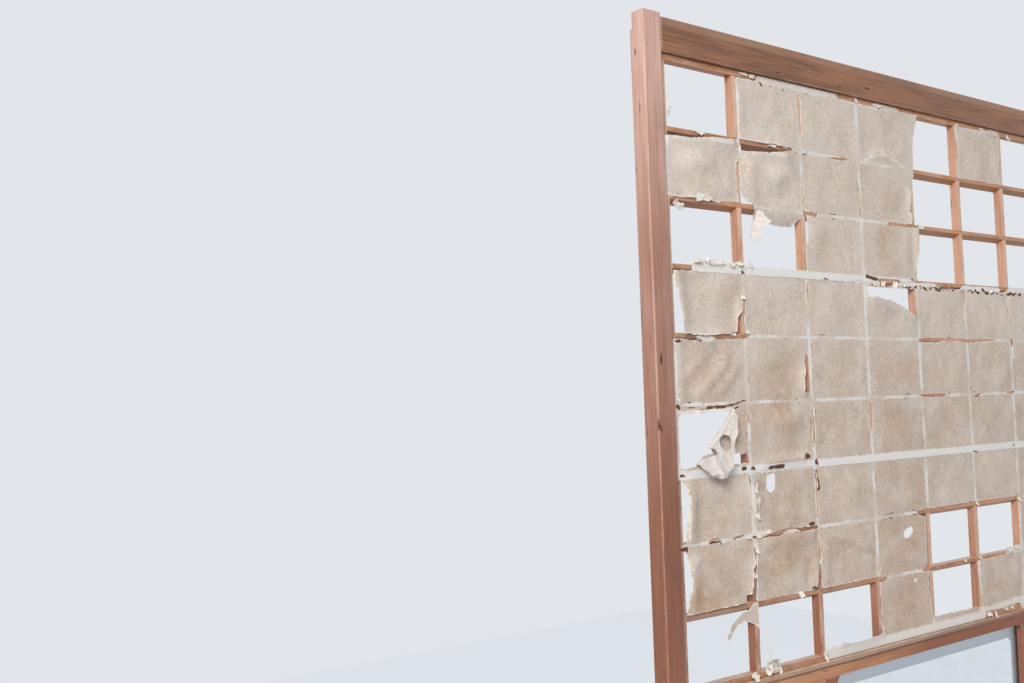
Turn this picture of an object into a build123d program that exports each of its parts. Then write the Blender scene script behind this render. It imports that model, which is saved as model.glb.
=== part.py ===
from build123d import *
import os

os.makedirs("parts", exist_ok=True)

# Shoji sliding screen: a cedar frame, a half-lapped lattice with its own thin edging, torn paper
# pasted on the lattice and a glass window low in the middle. Millimetres, +Z up. The origin is on
# the bottom edge, at the middle of the width and of the thickness. The papered face looks along -Y.

# Driving dimensions of the lattice
columns = 8
rows = 9
column_pitch = 107.0
row_pitch = 70.0
upright_width = 7.0
bar_height = 5.0
bar_taper = 4.5
lattice_depth = 10.0
edging_width = 7.0
lattice_tenon_length = 5.0
lattice_tenon_thickness = 4.0
lattice_tenon_width = 3.0

# Driving dimensions of the frame
stile_width = 25.0
frame_depth = 20.0
rail_depth = 18.0
lattice_recess = 4.0
top_rail_height = 36.0
mid_rail_height = 36.0
lower_rail_height = 30.0
bottom_rail_height = 60.0
lower_board_height = 365.0
horn_rise = 4.0
tongue_height = 17.0
tongue_thickness = 16.5
rail_tenon_length = 17.0
rail_tenon_thickness = 6.0
rail_tenon_inset = 6.0
arris_chamfer = 1.0

# Driving dimensions of the window and the boards
window_columns = 4
window_height = 600.0
window_stile_width = 21.0
window_lift = 18.0
window_corner_radius = 8.0
window_tenon_length = 9.0
glass_thickness = 3.0
glass_setback = 8.0
glass_lap = 5.0
glazing_gap = 1.0
bead_depth = 5.0
board_thickness = 6.0
board_lap = 5.0
board_setback = 7.0
groove_gap = 1.0

# Driving dimensions of the paper. Places on it are in cells: columns from the left end of the
# lattice, rows from its top, with an upright or a bar at each whole number.
paper_thickness = 0.3
upper_seam_bar = 3
lower_seam_bar = 6
seam_overlap = 9.0
seam_joint = 2.0
paper_margin = 1.0
fold_grip = 0.5
corner_fold_radius = 2.5
corner_fold_angle = 171.0
corner_hole_radius = 8.0
tongue_fold_radius = 1.5
tongue_fold_angle = 155.0
ledge_curl_grip = 5.0
ledge_curl_radius = 12.0
ledge_curl_angle = 75.0
ledge_curl_reach = 3.0

# Widths worked out from the lattice
lattice_width = columns * column_pitch - upright_width
frame_inner_width = lattice_width + 2 * edging_width
panel_width = frame_inner_width + 2 * stile_width
window_outer_width = window_columns * column_pitch + upright_width
window_width = window_outer_width - 2 * window_stile_width
window_stile_x = (window_outer_width - window_stile_width) / 2

# Heights, from the bottom edge up
lower_rail_bottom = bottom_rail_height + lower_board_height
lower_rail_top = lower_rail_bottom + lower_rail_height
window_top = lower_rail_top + window_height
mid_rail_bottom = window_top - window_lift
mid_rail_top = mid_rail_bottom + mid_rail_height
lattice_bottom = mid_rail_top + edging_width
lattice_top = lattice_bottom + rows * row_pitch
top_rail_bottom = lattice_top + edging_width
top_rail_top = top_rail_bottom + top_rail_height
panel_height = top_rail_top + horn_rise

# Depths, from the papered face back
front_y = -frame_depth / 2
back_y = frame_depth / 2
rail_back_y = front_y + rail_depth
lattice_front_y = front_y + lattice_recess
lattice_back_y = lattice_front_y + lattice_depth
lap_y = lattice_front_y + lattice_depth / 2
tongue_back_y = front_y + tongue_thickness
glass_front_y = front_y + glass_setback
glass_back_y = glass_front_y + glass_thickness
board_front_y = front_y + board_setback
rail_mid_y = (front_y + rail_back_y) / 2

upright_xs = [(i - columns / 2) * column_pitch for i in range(1, columns)]
bar_zs = [lattice_top - i * row_pitch for i in range(1, rows)]
paper_front_y = lattice_front_y - paper_thickness
paper_mid_y = lattice_front_y - paper_thickness / 2
paper_reach = (frame_inner_width / 2 - paper_margin) / column_pitch
paper_left = columns / 2 - paper_reach
paper_right = columns / 2 + paper_reach
paper_top = -(edging_width - paper_margin) / row_pitch
paper_bottom = rows - paper_top
fold_reach = column_pitch / 2
seam_half = seam_overlap / 2 / row_pitch
seam_step = (seam_overlap / 2 + seam_joint) / row_pitch
rail_spans = {
    "top_rail": (top_rail_bottom, top_rail_top),
    "mid_rail": (mid_rail_bottom, mid_rail_top),
    "lower_rail": (lower_rail_bottom, lower_rail_top),
    "bottom_rail": (0, bottom_rail_height),
}


def save(part, name):
    part.label = name
    export_step(part, f"parts/{name}.step")


def block(x0, x1, y0, y1, z0, z1, mode=Mode.ADD):
    """A plain block between two opposite corners, added to or cut from the part being built."""
    with BuildSketch(Plane.XY.offset(z0)) as footprint:
        with Locations(((x0 + x1) / 2, (y0 + y1) / 2)):
            Rectangle(x1 - x0, y1 - y0)
    extrude(footprint.sketch, amount=z1 - z0, mode=mode)


# Stiles: full-height uprights with horns above the top rail. They are mortised for the rails and
# grooved for the boards, and their tops are thinned at the back to run in the head track.
def build_stile(name, side):
    inner_x = side * frame_inner_width / 2
    outer_x = side * panel_width / 2
    with BuildPart() as stile:
        block(min(inner_x, outer_x), max(inner_x, outer_x), front_y, back_y, 0, panel_height)
        long_edges = stile.edges().filter_by(Axis.Z)
        chamfer(long_edges, arris_chamfer)
        block(
            min(inner_x, outer_x), max(inner_x, outer_x), tongue_back_y, back_y,
            panel_height - tongue_height, panel_height, mode=Mode.SUBTRACT,
        )
        mortise_end = inner_x + side * rail_tenon_length
        for low, high in rail_spans.values():
            block(
                min(inner_x, mortise_end), max(inner_x, mortise_end),
                rail_mid_y - rail_tenon_thickness / 2, rail_mid_y + rail_tenon_thickness / 2,
                low + rail_tenon_inset, high - rail_tenon_inset, mode=Mode.SUBTRACT,
            )
        groove_end = inner_x + side * (board_lap + groove_gap)
        for low, high in ((lower_rail_top, mid_rail_bottom), (bottom_rail_height, lower_rail_bottom)):
            block(
                min(inner_x, groove_end), max(inner_x, groove_end),
                board_front_y, board_front_y + board_thickness,
                low - board_lap, high + board_lap, mode=Mode.SUBTRACT,
            )
    save(stile.part, name)


build_stile("left_stile", -1)
build_stile("right_stile", 1)


# Rails: each runs between the stiles, has a stub tenon at both ends and is grooved where a board
# stands in it. The middle rail is cut up into for the window.
def rail_body(low, high):
    half = frame_inner_width / 2
    block(-half, half, front_y, rail_back_y, low, high)
    reach = half + rail_tenon_length
    block(
        -reach, reach, rail_mid_y - rail_tenon_thickness / 2, rail_mid_y + rail_tenon_thickness / 2,
        low + rail_tenon_inset, high - rail_tenon_inset,
    )


def cut_board_groove(x0, x1, edge_z, direction):
    depth_z = edge_z + direction * (board_lap + groove_gap)
    block(
        x0, x1, board_front_y, board_front_y + board_thickness,
        min(edge_z, depth_z), max(edge_z, depth_z), mode=Mode.SUBTRACT,
    )


def cut_glass_rebate(edge_z, direction):
    half = window_width / 2 + glass_lap + glazing_gap
    depth_z = edge_z + direction * (glass_lap + glazing_gap)
    block(
        -half, half, glass_front_y, rail_back_y,
        min(edge_z, depth_z), max(edge_z, depth_z), mode=Mode.SUBTRACT,
    )


def cut_window_mortises(edge_z, direction):
    depth_z = edge_z + direction * window_tenon_length
    for side in (-1, 1):
        block(
            side * window_stile_x - lattice_tenon_width, side * window_stile_x + lattice_tenon_width,
            board_front_y, board_front_y + board_thickness,
            min(edge_z, depth_z), max(edge_z, depth_z), mode=Mode.SUBTRACT,
        )


side_board_spans = [
    (-frame_inner_width / 2, -window_outer_width / 2),
    (window_outer_width / 2, frame_inner_width / 2),
]

with BuildPart() as top_rail:
    rail_body(*rail_spans["top_rail"])
    block(
        -frame_inner_width / 2, frame_inner_width / 2, tongue_back_y, rail_back_y,
        panel_height - tongue_height, top_rail_top, mode=Mode.SUBTRACT,
    )
save(top_rail.part, "top_rail")

with BuildPart() as mid_rail:
    rail_body(*rail_spans["mid_rail"])
    block(
        -window_outer_width / 2, window_outer_width / 2, front_y, rail_back_y,
        mid_rail_bottom, window_top, mode=Mode.SUBTRACT,
    )
    for x0, x1 in side_board_spans:
        cut_board_groove(x0, x1, mid_rail_bottom, 1)
    cut_glass_rebate(window_top, 1)
    cut_window_mortises(window_top, 1)
save(mid_rail.part, "mid_rail")

with BuildPart() as lower_rail:
    rail_body(*rail_spans["lower_rail"])
    for x0, x1 in side_board_spans:
        cut_board_groove(x0 - board_lap, x1 + board_lap, lower_rail_top, -1)
    cut_board_groove(-frame_inner_width / 2, frame_inner_width / 2, lower_rail_bottom, 1)
    cut_glass_rebate(lower_rail_top, -1)
    cut_window_mortises(lower_rail_top, -1)
save(lower_rail.part, "lower_rail")

with BuildPart() as bottom_rail:
    rail_body(*rail_spans["bottom_rail"])
    cut_board_groove(-frame_inner_width / 2, frame_inner_width / 2, bottom_rail_height, -1)
save(bottom_rail.part, "bottom_rail")


# Lattice edging: a thin strip along each side of the lattice field, set back from the frame's
# face, with a mortise for every lattice bar that ends in it.
def cut_bar_mortise(x0, x1, z):
    block(
        x0, x1, lap_y - lattice_tenon_thickness / 2, lap_y + lattice_tenon_thickness / 2,
        z - lattice_tenon_width / 2, z + lattice_tenon_width / 2, mode=Mode.SUBTRACT,
    )


def cut_upright_mortise(x, z0, z1):
    block(
        x - lattice_tenon_width / 2, x + lattice_tenon_width / 2,
        lap_y - lattice_tenon_thickness / 2, lap_y + lattice_tenon_thickness / 2,
        z0, z1, mode=Mode.SUBTRACT,
    )


for name, low, high, mortise_low in (
    ("lattice_edging_top", lattice_top, top_rail_bottom, lattice_top),
    ("lattice_edging_bottom", mid_rail_top, lattice_bottom, lattice_bottom - lattice_tenon_length),
):
    with BuildPart() as edging:
        block(
            -frame_inner_width / 2, frame_inner_width / 2, lattice_front_y, lattice_back_y, low, high
        )
        for x in upright_xs:
            cut_upright_mortise(x, mortise_low, mortise_low + lattice_tenon_length)
    save(edging.part, name)

for name, side in (("lattice_edging_left", -1), ("lattice_edging_right", 1)):
    inner_x = side * lattice_width / 2
    outer_x = side * frame_inner_width / 2
    mortise_end = inner_x + side * lattice_tenon_length
    with BuildPart() as edging:
        block(
            min(inner_x, outer_x), max(inner_x, outer_x), lattice_front_y, lattice_back_y,
            lattice_bottom, lattice_top,
        )
        for z in bar_zs:
            cut_bar_mortise(min(inner_x, mortise_end), max(inner_x, mortise_end), z)
    save(edging.part, name)


# Lattice bars: the horizontal ones are planed to a taper underneath, thin at the papered face and
# deeper at the back. Where they cross an upright, each gives up half its thickness, so that
# every face is flush and the horizontal bar runs through in front.
def extrude_bar(z, x0, x1, back, mode=Mode.ADD):
    """A stretch of a horizontal bar, from the papered face back to the depth given."""
    share = (back - lattice_front_y) / lattice_depth
    top = z + bar_height / 2
    bottom = z - bar_height / 2
    with BuildSketch(Plane.YZ.offset(x0)) as section:
        with BuildLine():
            Polyline(
                (lattice_front_y, top), (back, top), (back, bottom - bar_taper * share),
                (lattice_front_y, bottom), close=True,
            )
        make_face()
    extrude(section.sketch, amount=x1 - x0, mode=mode)


for number, z in enumerate(bar_zs, start=1):
    with BuildPart() as bar:
        extrude_bar(z, -lattice_width / 2, lattice_width / 2, lattice_back_y)
        for x in upright_xs:
            block(
                x - upright_width / 2, x + upright_width / 2, lap_y, lattice_back_y,
                z - row_pitch / 2, z + row_pitch / 2, mode=Mode.SUBTRACT,
            )
        reach = lattice_width / 2 + lattice_tenon_length
        for x0, x1 in ((-reach, -lattice_width / 2), (lattice_width / 2, reach)):
            block(
                x0, x1, lap_y - lattice_tenon_thickness / 2, lap_y + lattice_tenon_thickness / 2,
                z - lattice_tenon_width / 2, z + lattice_tenon_width / 2,
            )
    save(bar.part, f"horizontal_lattice_bar_{number}")

for number, x in enumerate(upright_xs, start=1):
    with BuildPart() as upright:
        block(
            x - upright_width / 2, x + upright_width / 2, lattice_front_y, lattice_back_y,
            lattice_bottom, lattice_top,
        )
        for z in bar_zs:
            extrude_bar(z, x - upright_width / 2, x + upright_width / 2, lap_y, mode=Mode.SUBTRACT)
        for z0 in (lattice_bottom - lattice_tenon_length, lattice_top):
            block(
                x - lattice_tenon_width / 2, x + lattice_tenon_width / 2,
                lap_y - lattice_tenon_thickness / 2, lap_y + lattice_tenon_thickness / 2,
                z0, z0 + lattice_tenon_length,
            )
    save(upright.part, f"upright_lattice_bar_{number}")


# Window: two stiles between the middle and the lower rail, whose front edges round the corners of
# the opening, a pane in a rebate and four beads that hold it from behind.
def corner_ear(x, z, side, up):
    """The rounded corner of the opening: a square with a quarter disc taken out of it."""
    reach = window_corner_radius
    with BuildSketch(Plane.XZ.offset(-front_y)) as ear:
        with Locations((x - side * reach / 2, z - up * reach / 2)):
            Rectangle(reach, reach)
        with Locations((x - side * reach, z - up * reach)):
            Circle(reach, mode=Mode.SUBTRACT)
    extrude(ear.sketch, amount=-glass_setback)


for name, side in (("window_stile_left", -1), ("window_stile_right", 1)):
    centre_x = side * window_stile_x
    inner_x = side * window_width / 2
    outer_x = side * window_outer_width / 2
    rebate_end = inner_x + side * (glass_lap + glazing_gap)
    groove_end = outer_x - side * (board_lap + groove_gap)
    with BuildPart() as window_stile:
        block(
            centre_x - window_stile_width / 2, centre_x + window_stile_width / 2,
            front_y, rail_back_y, lower_rail_top, window_top,
        )
        corner_ear(inner_x, window_top, side, 1)
        corner_ear(inner_x, lower_rail_top, side, -1)
        block(
            centre_x - lattice_tenon_width, centre_x + lattice_tenon_width,
            board_front_y, board_front_y + board_thickness,
            lower_rail_top - window_tenon_length, window_top + window_tenon_length,
        )
        block(
            min(inner_x, rebate_end), max(inner_x, rebate_end), glass_front_y, rail_back_y,
            lower_rail_top, window_top, mode=Mode.SUBTRACT,
        )
        block(
            min(outer_x, groove_end), max(outer_x, groove_end),
            board_front_y, board_front_y + board_thickness,
            lower_rail_top, mid_rail_bottom + board_lap + groove_gap, mode=Mode.SUBTRACT,
        )
    save(window_stile.part, name)

pane_low = lower_rail_top - glass_lap - glazing_gap
pane_high = window_top + glass_lap
pane_half = window_width / 2 + glass_lap
with BuildPart() as glass_pane:
    block(-pane_half, pane_half, glass_front_y, glass_back_y, pane_low, pane_high)
save(glass_pane.part, "glass_pane")

rebate_half = window_width / 2 + glass_lap + glazing_gap
rebate_low = lower_rail_top - glass_lap - glazing_gap
rebate_high = window_top + glass_lap + glazing_gap
bead_width = glass_lap + glazing_gap
bead_back_y = glass_back_y + bead_depth

for name, low in (
    ("glazing_bead_bottom", rebate_low), ("glazing_bead_top", rebate_high - bead_width)
):
    with BuildPart() as bead:
        block(-rebate_half, rebate_half, glass_back_y, bead_back_y, low, low + bead_width)
    save(bead.part, name)

for name, x0 in (
    ("glazing_bead_left", -rebate_half), ("glazing_bead_right", rebate_half - bead_width)
):
    with BuildPart() as bead:
        block(
            x0, x0 + bead_width, glass_back_y, bead_back_y,
            rebate_low + bead_width, rebate_high - bead_width,
        )
    save(bead.part, name)


# Boards: thin panels that stand in the grooves beside and below the window.
for name, (x0, x1) in zip(("side_board_left", "side_board_right"), side_board_spans):
    with BuildPart() as board:
        block(
            x0 - board_lap, x1 + board_lap, board_front_y, board_front_y + board_thickness,
            lower_rail_top - board_lap, mid_rail_bottom + board_lap,
        )
    save(board.part, name)

with BuildPart() as lower_board:
    block(
        -frame_inner_width / 2 - board_lap, frame_inner_width / 2 + board_lap,
        board_front_y, board_front_y + board_thickness,
        bottom_rail_height - board_lap, lower_rail_bottom + board_lap,
    )
save(lower_board.part, "lower_board")


# Paper: three sheets pasted across the lattice from the bottom up, each lapping over the one
# below on a bar. All three are torn: whole cells are gone, edges have come away from the bars,
# and one corner has folded over to show its white back.
def place(u, v):
    """The point of the lattice field that lies u columns from the left and v rows from the top."""
    return (u - columns / 2) * column_pitch, lattice_top - v * row_pitch


def torn(*corners, mode=Mode.ADD):
    """A straight-sided piece of paper, or a piece torn away, with its corners given in cells."""
    Polygon(*[place(u, v) for u, v in corners], align=None, mode=mode)


def torn_away(*corners):
    torn(*corners, mode=Mode.SUBTRACT)


def curl(crest_low, crest_high, grip, radius, angle, reach):
    """Paper that leaves the lattice at a crest and bends forward through an angle, as a strip as
    long as the crest. The grip is the flat part before the bend, the reach the one after it."""
    low = Vector(place(*crest_low)[0], paper_mid_y, place(*crest_low)[1])
    high = Vector(place(*crest_high)[0], paper_mid_y, place(*crest_high)[1])
    along = (high - low).normalized()
    heading = Vector(-along.Z, 0, along.X)
    with BuildSketch(Plane(origin=low, x_dir=heading, z_dir=along)) as profile:
        with BuildLine():
            flat = Line((-grip, 0), (0, 0))
            bend = JernArc(start=flat @ 1, tangent=flat % 1, radius=radius, arc_size=angle)
            Line(bend @ 1, bend @ 1 + (bend % 1) * reach)
        trace(line_width=paper_thickness)
    extrude(profile.sketch, amount=(high - low).length)


paper_plane = Plane.XZ.offset(-lattice_front_y)
seam_plane = Plane.XZ.offset(-paper_front_y)

with BuildPart() as folded_tongue:
    curl(
        (1.16, 2.44), (1.27, 2.06), fold_grip,
        tongue_fold_radius, tongue_fold_angle, fold_reach,
    )
    with BuildSketch(paper_plane):
        torn(
            (1.29, 2.04), (1.39, 2.27), (1.29, 2.33), (1.26, 2.42), (1.17, 2.5), (1.1, 2.46),
            (1.2, 2.04),
        )
    extrude(amount=fold_reach, both=True, mode=Mode.INTERSECT)

with BuildPart() as upper_strip:
    with BuildSketch(paper_plane):
        torn(
            (1.06, 0.02), (1.34, 0.0), (1.36, paper_top), (2.66, paper_top), (2.68, -0.01),
            (3.34, -0.01), (3.38, paper_top), (3.78, paper_top), (3.84, -0.03), (4.19, -0.04),
            (4.16, 0.12), (4.08, 0.4), (4.05, 1.1), (3.97, 1.3), (3.93, 1.7), (3.96, 1.97),
            (3.5, 1.97), (3.52, 2.03), (4.1, 2.02), (4.08, 2.3), (4.02, 2.7),
            (4.02, upper_seam_bar - seam_half), (2.01, upper_seam_bar - seam_half), (2.03, 2.5),
            (2.07, 2.4), (2.06, 2.04), (2.24, 2.03), (2.24, 1.97), (2.08, 1.96), (2.06, 1.38),
            (2.01, 1.36), (2.0, 2.05), (1.85, 2.24), (1.6, 2.24), (1.38, 2.2), (1.2, 2.42),
            (1.16, 2.43), (1.27, 2.05), (1.27, 1.97), (1.2, 1.95), (1.12, 1.85), (1.08, 1.6),
            (1.07, 1.32), (1.03, 1.34),
            (1.0, 1.96), (0.78, 1.96), (0.72, 2.0), (0.6, 2.0), (0.55, 1.92), (0.42, 1.89),
            (0.35, 1.97), (paper_left, 1.99), (paper_left, 1.12), (0.3, 1.11), (0.6, 1.04),
            (1.0, 1.01), (1.07, 1.17), (1.4, 1.14), (1.6, 1.09), (1.85, 1.02), (1.85, 0.97),
            (1.07, 0.96), (1.09, 0.3),
        )
        torn_away((2.02, 0.05), (2.06, 0.05), (2.07, 0.7), (2.03, 0.75))
        torn_away((2.42, 1.03), (2.68, 0.99), (2.82, 0.98), (2.8, 1.02), (2.6, 1.04))
        torn_away((2.98, 1.45), (3.02, 1.45), (3.02, 1.96), (2.98, 1.96))
    extrude(amount=paper_thickness)
    with BuildSketch(seam_plane):
        torn(
            (2.03, upper_seam_bar - seam_step), (3.98, upper_seam_bar - seam_step), (3.98, 2.98),
            (3.7, 3.02), (3.62, 2.96), (3.3, 2.96), (3.2, 3.04), (3.02, 3.06), (2.9, 3.03),
            (2.7, upper_seam_bar + seam_half), (0.32, upper_seam_bar + seam_half), (0.3, 2.95),
            (0.45, 2.9), (0.6, 2.94), (0.98, 2.91), (1.1, 2.94), (2.0, 2.93),
        )
    extrude(amount=paper_thickness)
    add(folded_tongue.part)
save(upper_strip.part, "paper_strip_upper")

with BuildPart() as folded_corner:
    curl(
        (0.26, 5.885), (0.78, 5.12), fold_grip,
        corner_fold_radius, corner_fold_angle, fold_reach,
    )
    with BuildSketch(paper_plane):
        torn(
            (0.8, 5.04), (0.82, 5.2), (0.79, 5.4), (0.71, 5.65), (0.63, 5.92), (0.55, 6.03),
            (0.44, 6.09), (0.3, 6.0), (0.2, 5.93), (0.2, 5.82), (0.36, 5.77), (0.48, 5.73),
            (0.45, 5.66), (0.36, 5.62), (0.72, 5.04),
        )
        with Locations(place(0.59, 5.57)):
            Circle(corner_hole_radius, mode=Mode.SUBTRACT)
    extrude(amount=fold_reach, both=True, mode=Mode.INTERSECT)

with BuildPart() as middle_strip:
    with BuildSketch(paper_plane):
        torn(
            (0.3, 2.96), (3.22, 2.96), (3.32, 3.09), (3.62, 3.09), (3.7, 3.0), (4.36, 2.99),
            (4.46, 3.08), (4.9, 3.07), (4.97, 2.99), (5.74, 2.99), (5.82, 3.08), (5.98, 3.07),
            (6.04, 2.96), (paper_right, 2.96), (paper_right, lower_seam_bar - seam_half),
            (paper_left, lower_seam_bar - seam_half), (paper_left, 4.05), (0.1, 4.05), (0.3, 4.08),
            (0.4, 4.1), (0.6, 4.05), (1.05, 4.03), (1.06, 3.95), (1.09, 3.5), (1.05, 3.2),
            (1.0, 3.2), (0.99, 3.45), (0.94, 3.7), (0.91, 3.94), (0.5, 4.0), (0.15, 3.98),
            (0.14, 3.7), (0.09, 3.3), (0.05, 3.07), (0.3, 3.05),
        )
        torn_away((2.0, 3.1), (2.03, 3.1), (2.03, 3.6), (2.0, 3.55))
        torn_away(
            (3.04, 3.12), (3.98, 3.12), (3.98, 3.62), (3.93, 3.62), (3.75, 3.47), (3.5, 3.34),
            (3.2, 3.3), (3.04, 3.3),
        )
        torn_away((4.97, 3.1), (5.03, 3.1), (5.03, 3.3), (4.97, 3.3))
        torn_away((6.0, 3.12), (6.04, 3.12), (6.04, 3.5), (6.0, 3.5))
        torn_away(
            (3.98, 4.0), (4.1, 3.97), (5.6, 3.98), (5.6, 4.01), (5.0, 4.05), (4.8, 4.02),
            (4.5, 4.02), (4.35, 4.06), (4.0, 4.05),
        )
        torn_away((6.0, 3.96), (6.1, 3.97), (6.06, 4.02), (6.05, 4.33), (6.0, 4.3))
        torn_away((1.94, 4.25), (1.98, 4.35), (1.98, 4.88), (1.86, 4.88), (1.87, 4.6))
        torn_away((3.96, 4.97), (4.2, 4.96), (4.5, 4.97), (4.48, 5.02), (4.0, 5.03))
        torn_away((5.1, 5.04), (5.16, 4.99), (5.32, 4.97), (5.16, 5.06))
        torn_away((5.83, 4.97), (6.05, 4.97), (6.0, 5.03), (5.85, 5.01))
        torn_away((2.97, 5.05), (3.03, 5.05), (3.03, 5.55), (2.98, 5.55))
        torn_away((2.0, 5.1), (2.03, 5.1), (2.07, 5.3), (2.07, 5.6), (2.03, 5.7), (2.0, 5.68))
        torn_away((0.97, 5.18), (1.04, 5.17), (1.04, 5.32), (0.98, 5.31))
        torn_away((0.71, 5.75), (0.93, 5.76), (0.99, 5.83), (0.98, 5.91), (0.67, 5.91))
        torn_away(
            (0.07, 5.13), (0.35, 5.13), (0.5, 5.1), (0.76, 5.12), (0.8, 5.06), (0.9, 5.06),
            (0.78, 5.12), (0.45, 5.6055), (0.49, 5.72), (0.35, 5.7526), (0.26, 5.885),
            (0.06, 5.91),
        )
    extrude(amount=paper_thickness)
    with BuildSketch(seam_plane):
        torn(
            (paper_left, lower_seam_bar - seam_step), (paper_right, lower_seam_bar - seam_step),
            (paper_right, lower_seam_bar + seam_half), (4.3, lower_seam_bar + seam_half), (4.2, 6.04),
            (4.1, 6.04), (4.0, lower_seam_bar + seam_half), (2.06, lower_seam_bar + seam_half),
            (2.03, 6.03), (1.5, 6.05), (1.28, 6.03), (1.1, 6.05), (1.03, 6.03), (0.96, 6.05),
            (0.85, lower_seam_bar + seam_half), (0.14, lower_seam_bar + seam_half), (0.07, 6.02),
            (paper_left, 6.03),
        )
    extrude(amount=paper_thickness)
    add(folded_corner.part)
save(middle_strip.part, "paper_strip_middle")

with BuildPart() as lower_strip:
    with BuildSketch(paper_plane):
        torn(
            (paper_left, lower_seam_bar - seam_half), (paper_right, lower_seam_bar - seam_half),
            (paper_right, paper_bottom), (5.92, paper_bottom), (5.9, 8.97), (5.5, 8.98),
            (5.1, 8.97), (5.08, paper_bottom), (2.03, paper_bottom), (2.05, 8.95), (2.3, 8.87),
            (2.55, 8.93), (2.95, 8.9), (3.03, 8.84), (3.02, 8.5), (3.03, 8.06), (3.18, 8.02),
            (3.12, 7.97), (2.8, 7.96), (2.08, 7.96), (2.1, 7.6), (2.1, 7.3), (2.06, 7.05),
            (2.0, 7.08), (2.0, 7.5), (1.94, 7.7), (1.92, 7.96), (1.06, 7.96), (1.1, 7.6),
            (1.1, 7.12), (1.05, 7.05), (1.05, 7.3), (1.0, 7.5), (0.96, 7.84), (0.87, 7.84),
            (0.86, 7.95), (0.07, 7.96), (0.13, 7.6), (0.13, 7.4), (0.1, 7.2), (0.05, 7.08),
            (paper_left, 7.06), (paper_left, 6.98), (0.1, 6.97), (0.12, 6.7), (0.15, 6.4),
            (0.15, 6.2), (0.06, 6.08), (paper_left, 6.06),
        )
        torn_away((1.04, 6.09), (1.1, 6.09), (1.11, 6.45), (1.09, 6.85), (1.07, 6.5))
        torn_away((1.24, 6.1), (1.36, 6.1), (1.35, 6.35), (1.28, 6.38), (1.23, 6.3))
        torn_away((2.03, 6.1), (2.06, 6.1), (2.07, 6.85), (2.04, 6.9))
        torn_away((0.35, 6.97), (0.45, 6.93), (0.55, 6.97), (0.45, 6.99))
        torn_away((0.7, 6.99), (0.8, 6.94), (0.9, 6.96), (0.82, 6.99))
        torn_away(
            (1.32, 6.99), (1.5, 6.96), (1.85, 6.97), (2.0, 6.97), (2.0, 7.02), (1.5, 7.03),
            (1.38, 7.1), (1.12, 7.1),
        )
        torn_away((3.0, 7.62), (3.03, 7.65), (3.04, 7.9), (3.0, 7.88))
        torn_away((3.5, 7.36), (3.53, 7.26), (3.66, 7.22), (3.68, 7.3), (3.6, 7.4), (3.52, 7.4))
        torn_away(
            (3.76, 6.97), (4.9, 6.95), (6.05, 6.97), (6.05, 7.02), (5.98, 7.05), (5.97, 7.92),
            (5.65, 7.9), (5.62, 8.03), (4.97, 8.03), (5.04, 8.9), (4.9, 8.85), (4.05, 8.83),
            (3.99, 8.8), (3.94, 8.3), (3.95, 8.04), (3.82, 8.02), (3.83, 7.96), (3.93, 7.94),
            (3.95, 7.1), (3.78, 7.03),
        )
        torn_away((3.66, 8.14), (3.71, 8.14), (3.7, 8.18), (3.66, 8.18))
    extrude(amount=paper_thickness)
save(lower_strip.part, "paper_strip_lower")

with BuildPart() as top_scrap:
    with BuildSketch(paper_plane):
        torn(
            (5.03, -0.02), (5.2, 0.0), (5.55, -0.02), (5.6, paper_top), (5.72, -0.03),
            (5.75, paper_top), (5.95, paper_top), (6.0, -0.02), (5.98, 0.3), (5.98, 0.97),
            (5.06, 0.97), (5.06, 0.9), (5.09, 0.4),
        )
    extrude(amount=paper_thickness)
save(top_scrap.part, "paper_scrap_top")

with BuildPart() as right_scrap:
    with BuildSketch(paper_plane):
        torn(
            (7.02, paper_top), (paper_right, paper_top), (paper_right, upper_seam_bar - seam_half),
            (6.98, upper_seam_bar - seam_half), (7.0, 2.2), (6.98, 1.5), (7.01, 0.8),
        )
    extrude(amount=paper_thickness)
    with BuildSketch(seam_plane):
        torn(
            (7.0, upper_seam_bar - seam_step), (paper_right, upper_seam_bar - seam_step),
            (paper_right, upper_seam_bar + seam_half), (6.9, upper_seam_bar + seam_half), (6.86, 2.97),
        )
    extrude(amount=paper_thickness)
save(right_scrap.part, "paper_scrap_right")

# Loose ends: a narrow strip that hangs from the lowest bar where it crosses the first upright,
# and a curl that stands on the edging below.
with BuildPart() as hanging_strip:
    with BuildSketch(paper_plane):
        with BuildLine():
            Polyline(
                place(0.87, 8.07), place(0.97, 7.98), place(1.03, 7.98), place(1.03, 8.36),
                place(0.96, 8.29), place(0.87, 8.23),
            )
            ThreePointArc(place(0.87, 8.23), place(0.74, 8.27), place(0.64, 8.43))
            Line(place(0.64, 8.43), place(0.57, 8.46))
            ThreePointArc(place(0.57, 8.46), place(0.7, 8.19), place(0.87, 8.07))
        make_face()
    extrude(amount=paper_thickness)
save(hanging_strip.part, "hanging_paper_strip")

with BuildPart() as ledge_curl:
    curl(
        (1.1, 9.0), (1.3, 9.0), ledge_curl_grip,
        ledge_curl_radius, ledge_curl_angle, ledge_curl_reach,
    )
    with BuildSketch(paper_plane):
        torn((1.1, 9.05), (1.1, 8.93), (1.14, 8.7), (1.24, 8.84), (1.28, 9.0), (1.3, 9.08))
    extrude(amount=ledge_curl_reach + 2 * ledge_curl_radius, both=True, mode=Mode.INTERSECT)
save(ledge_curl.part, "paper_curl_on_edging")
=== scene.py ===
# %% [markdown]
# This lesson dresses an old sliding screen: a cedar frame with a half-lapped lattice, three sheets
# of torn paper pasted on it and a small window. The solids of the wood and glass are loaded as a
# fixed frame and only get finishes. The paper is modelled here, on the outlines of its solids.

import math

import bpy
import numpy as np
from mathutils import Matrix, Vector, noise
from mathutils.kdtree import KDTree


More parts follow.
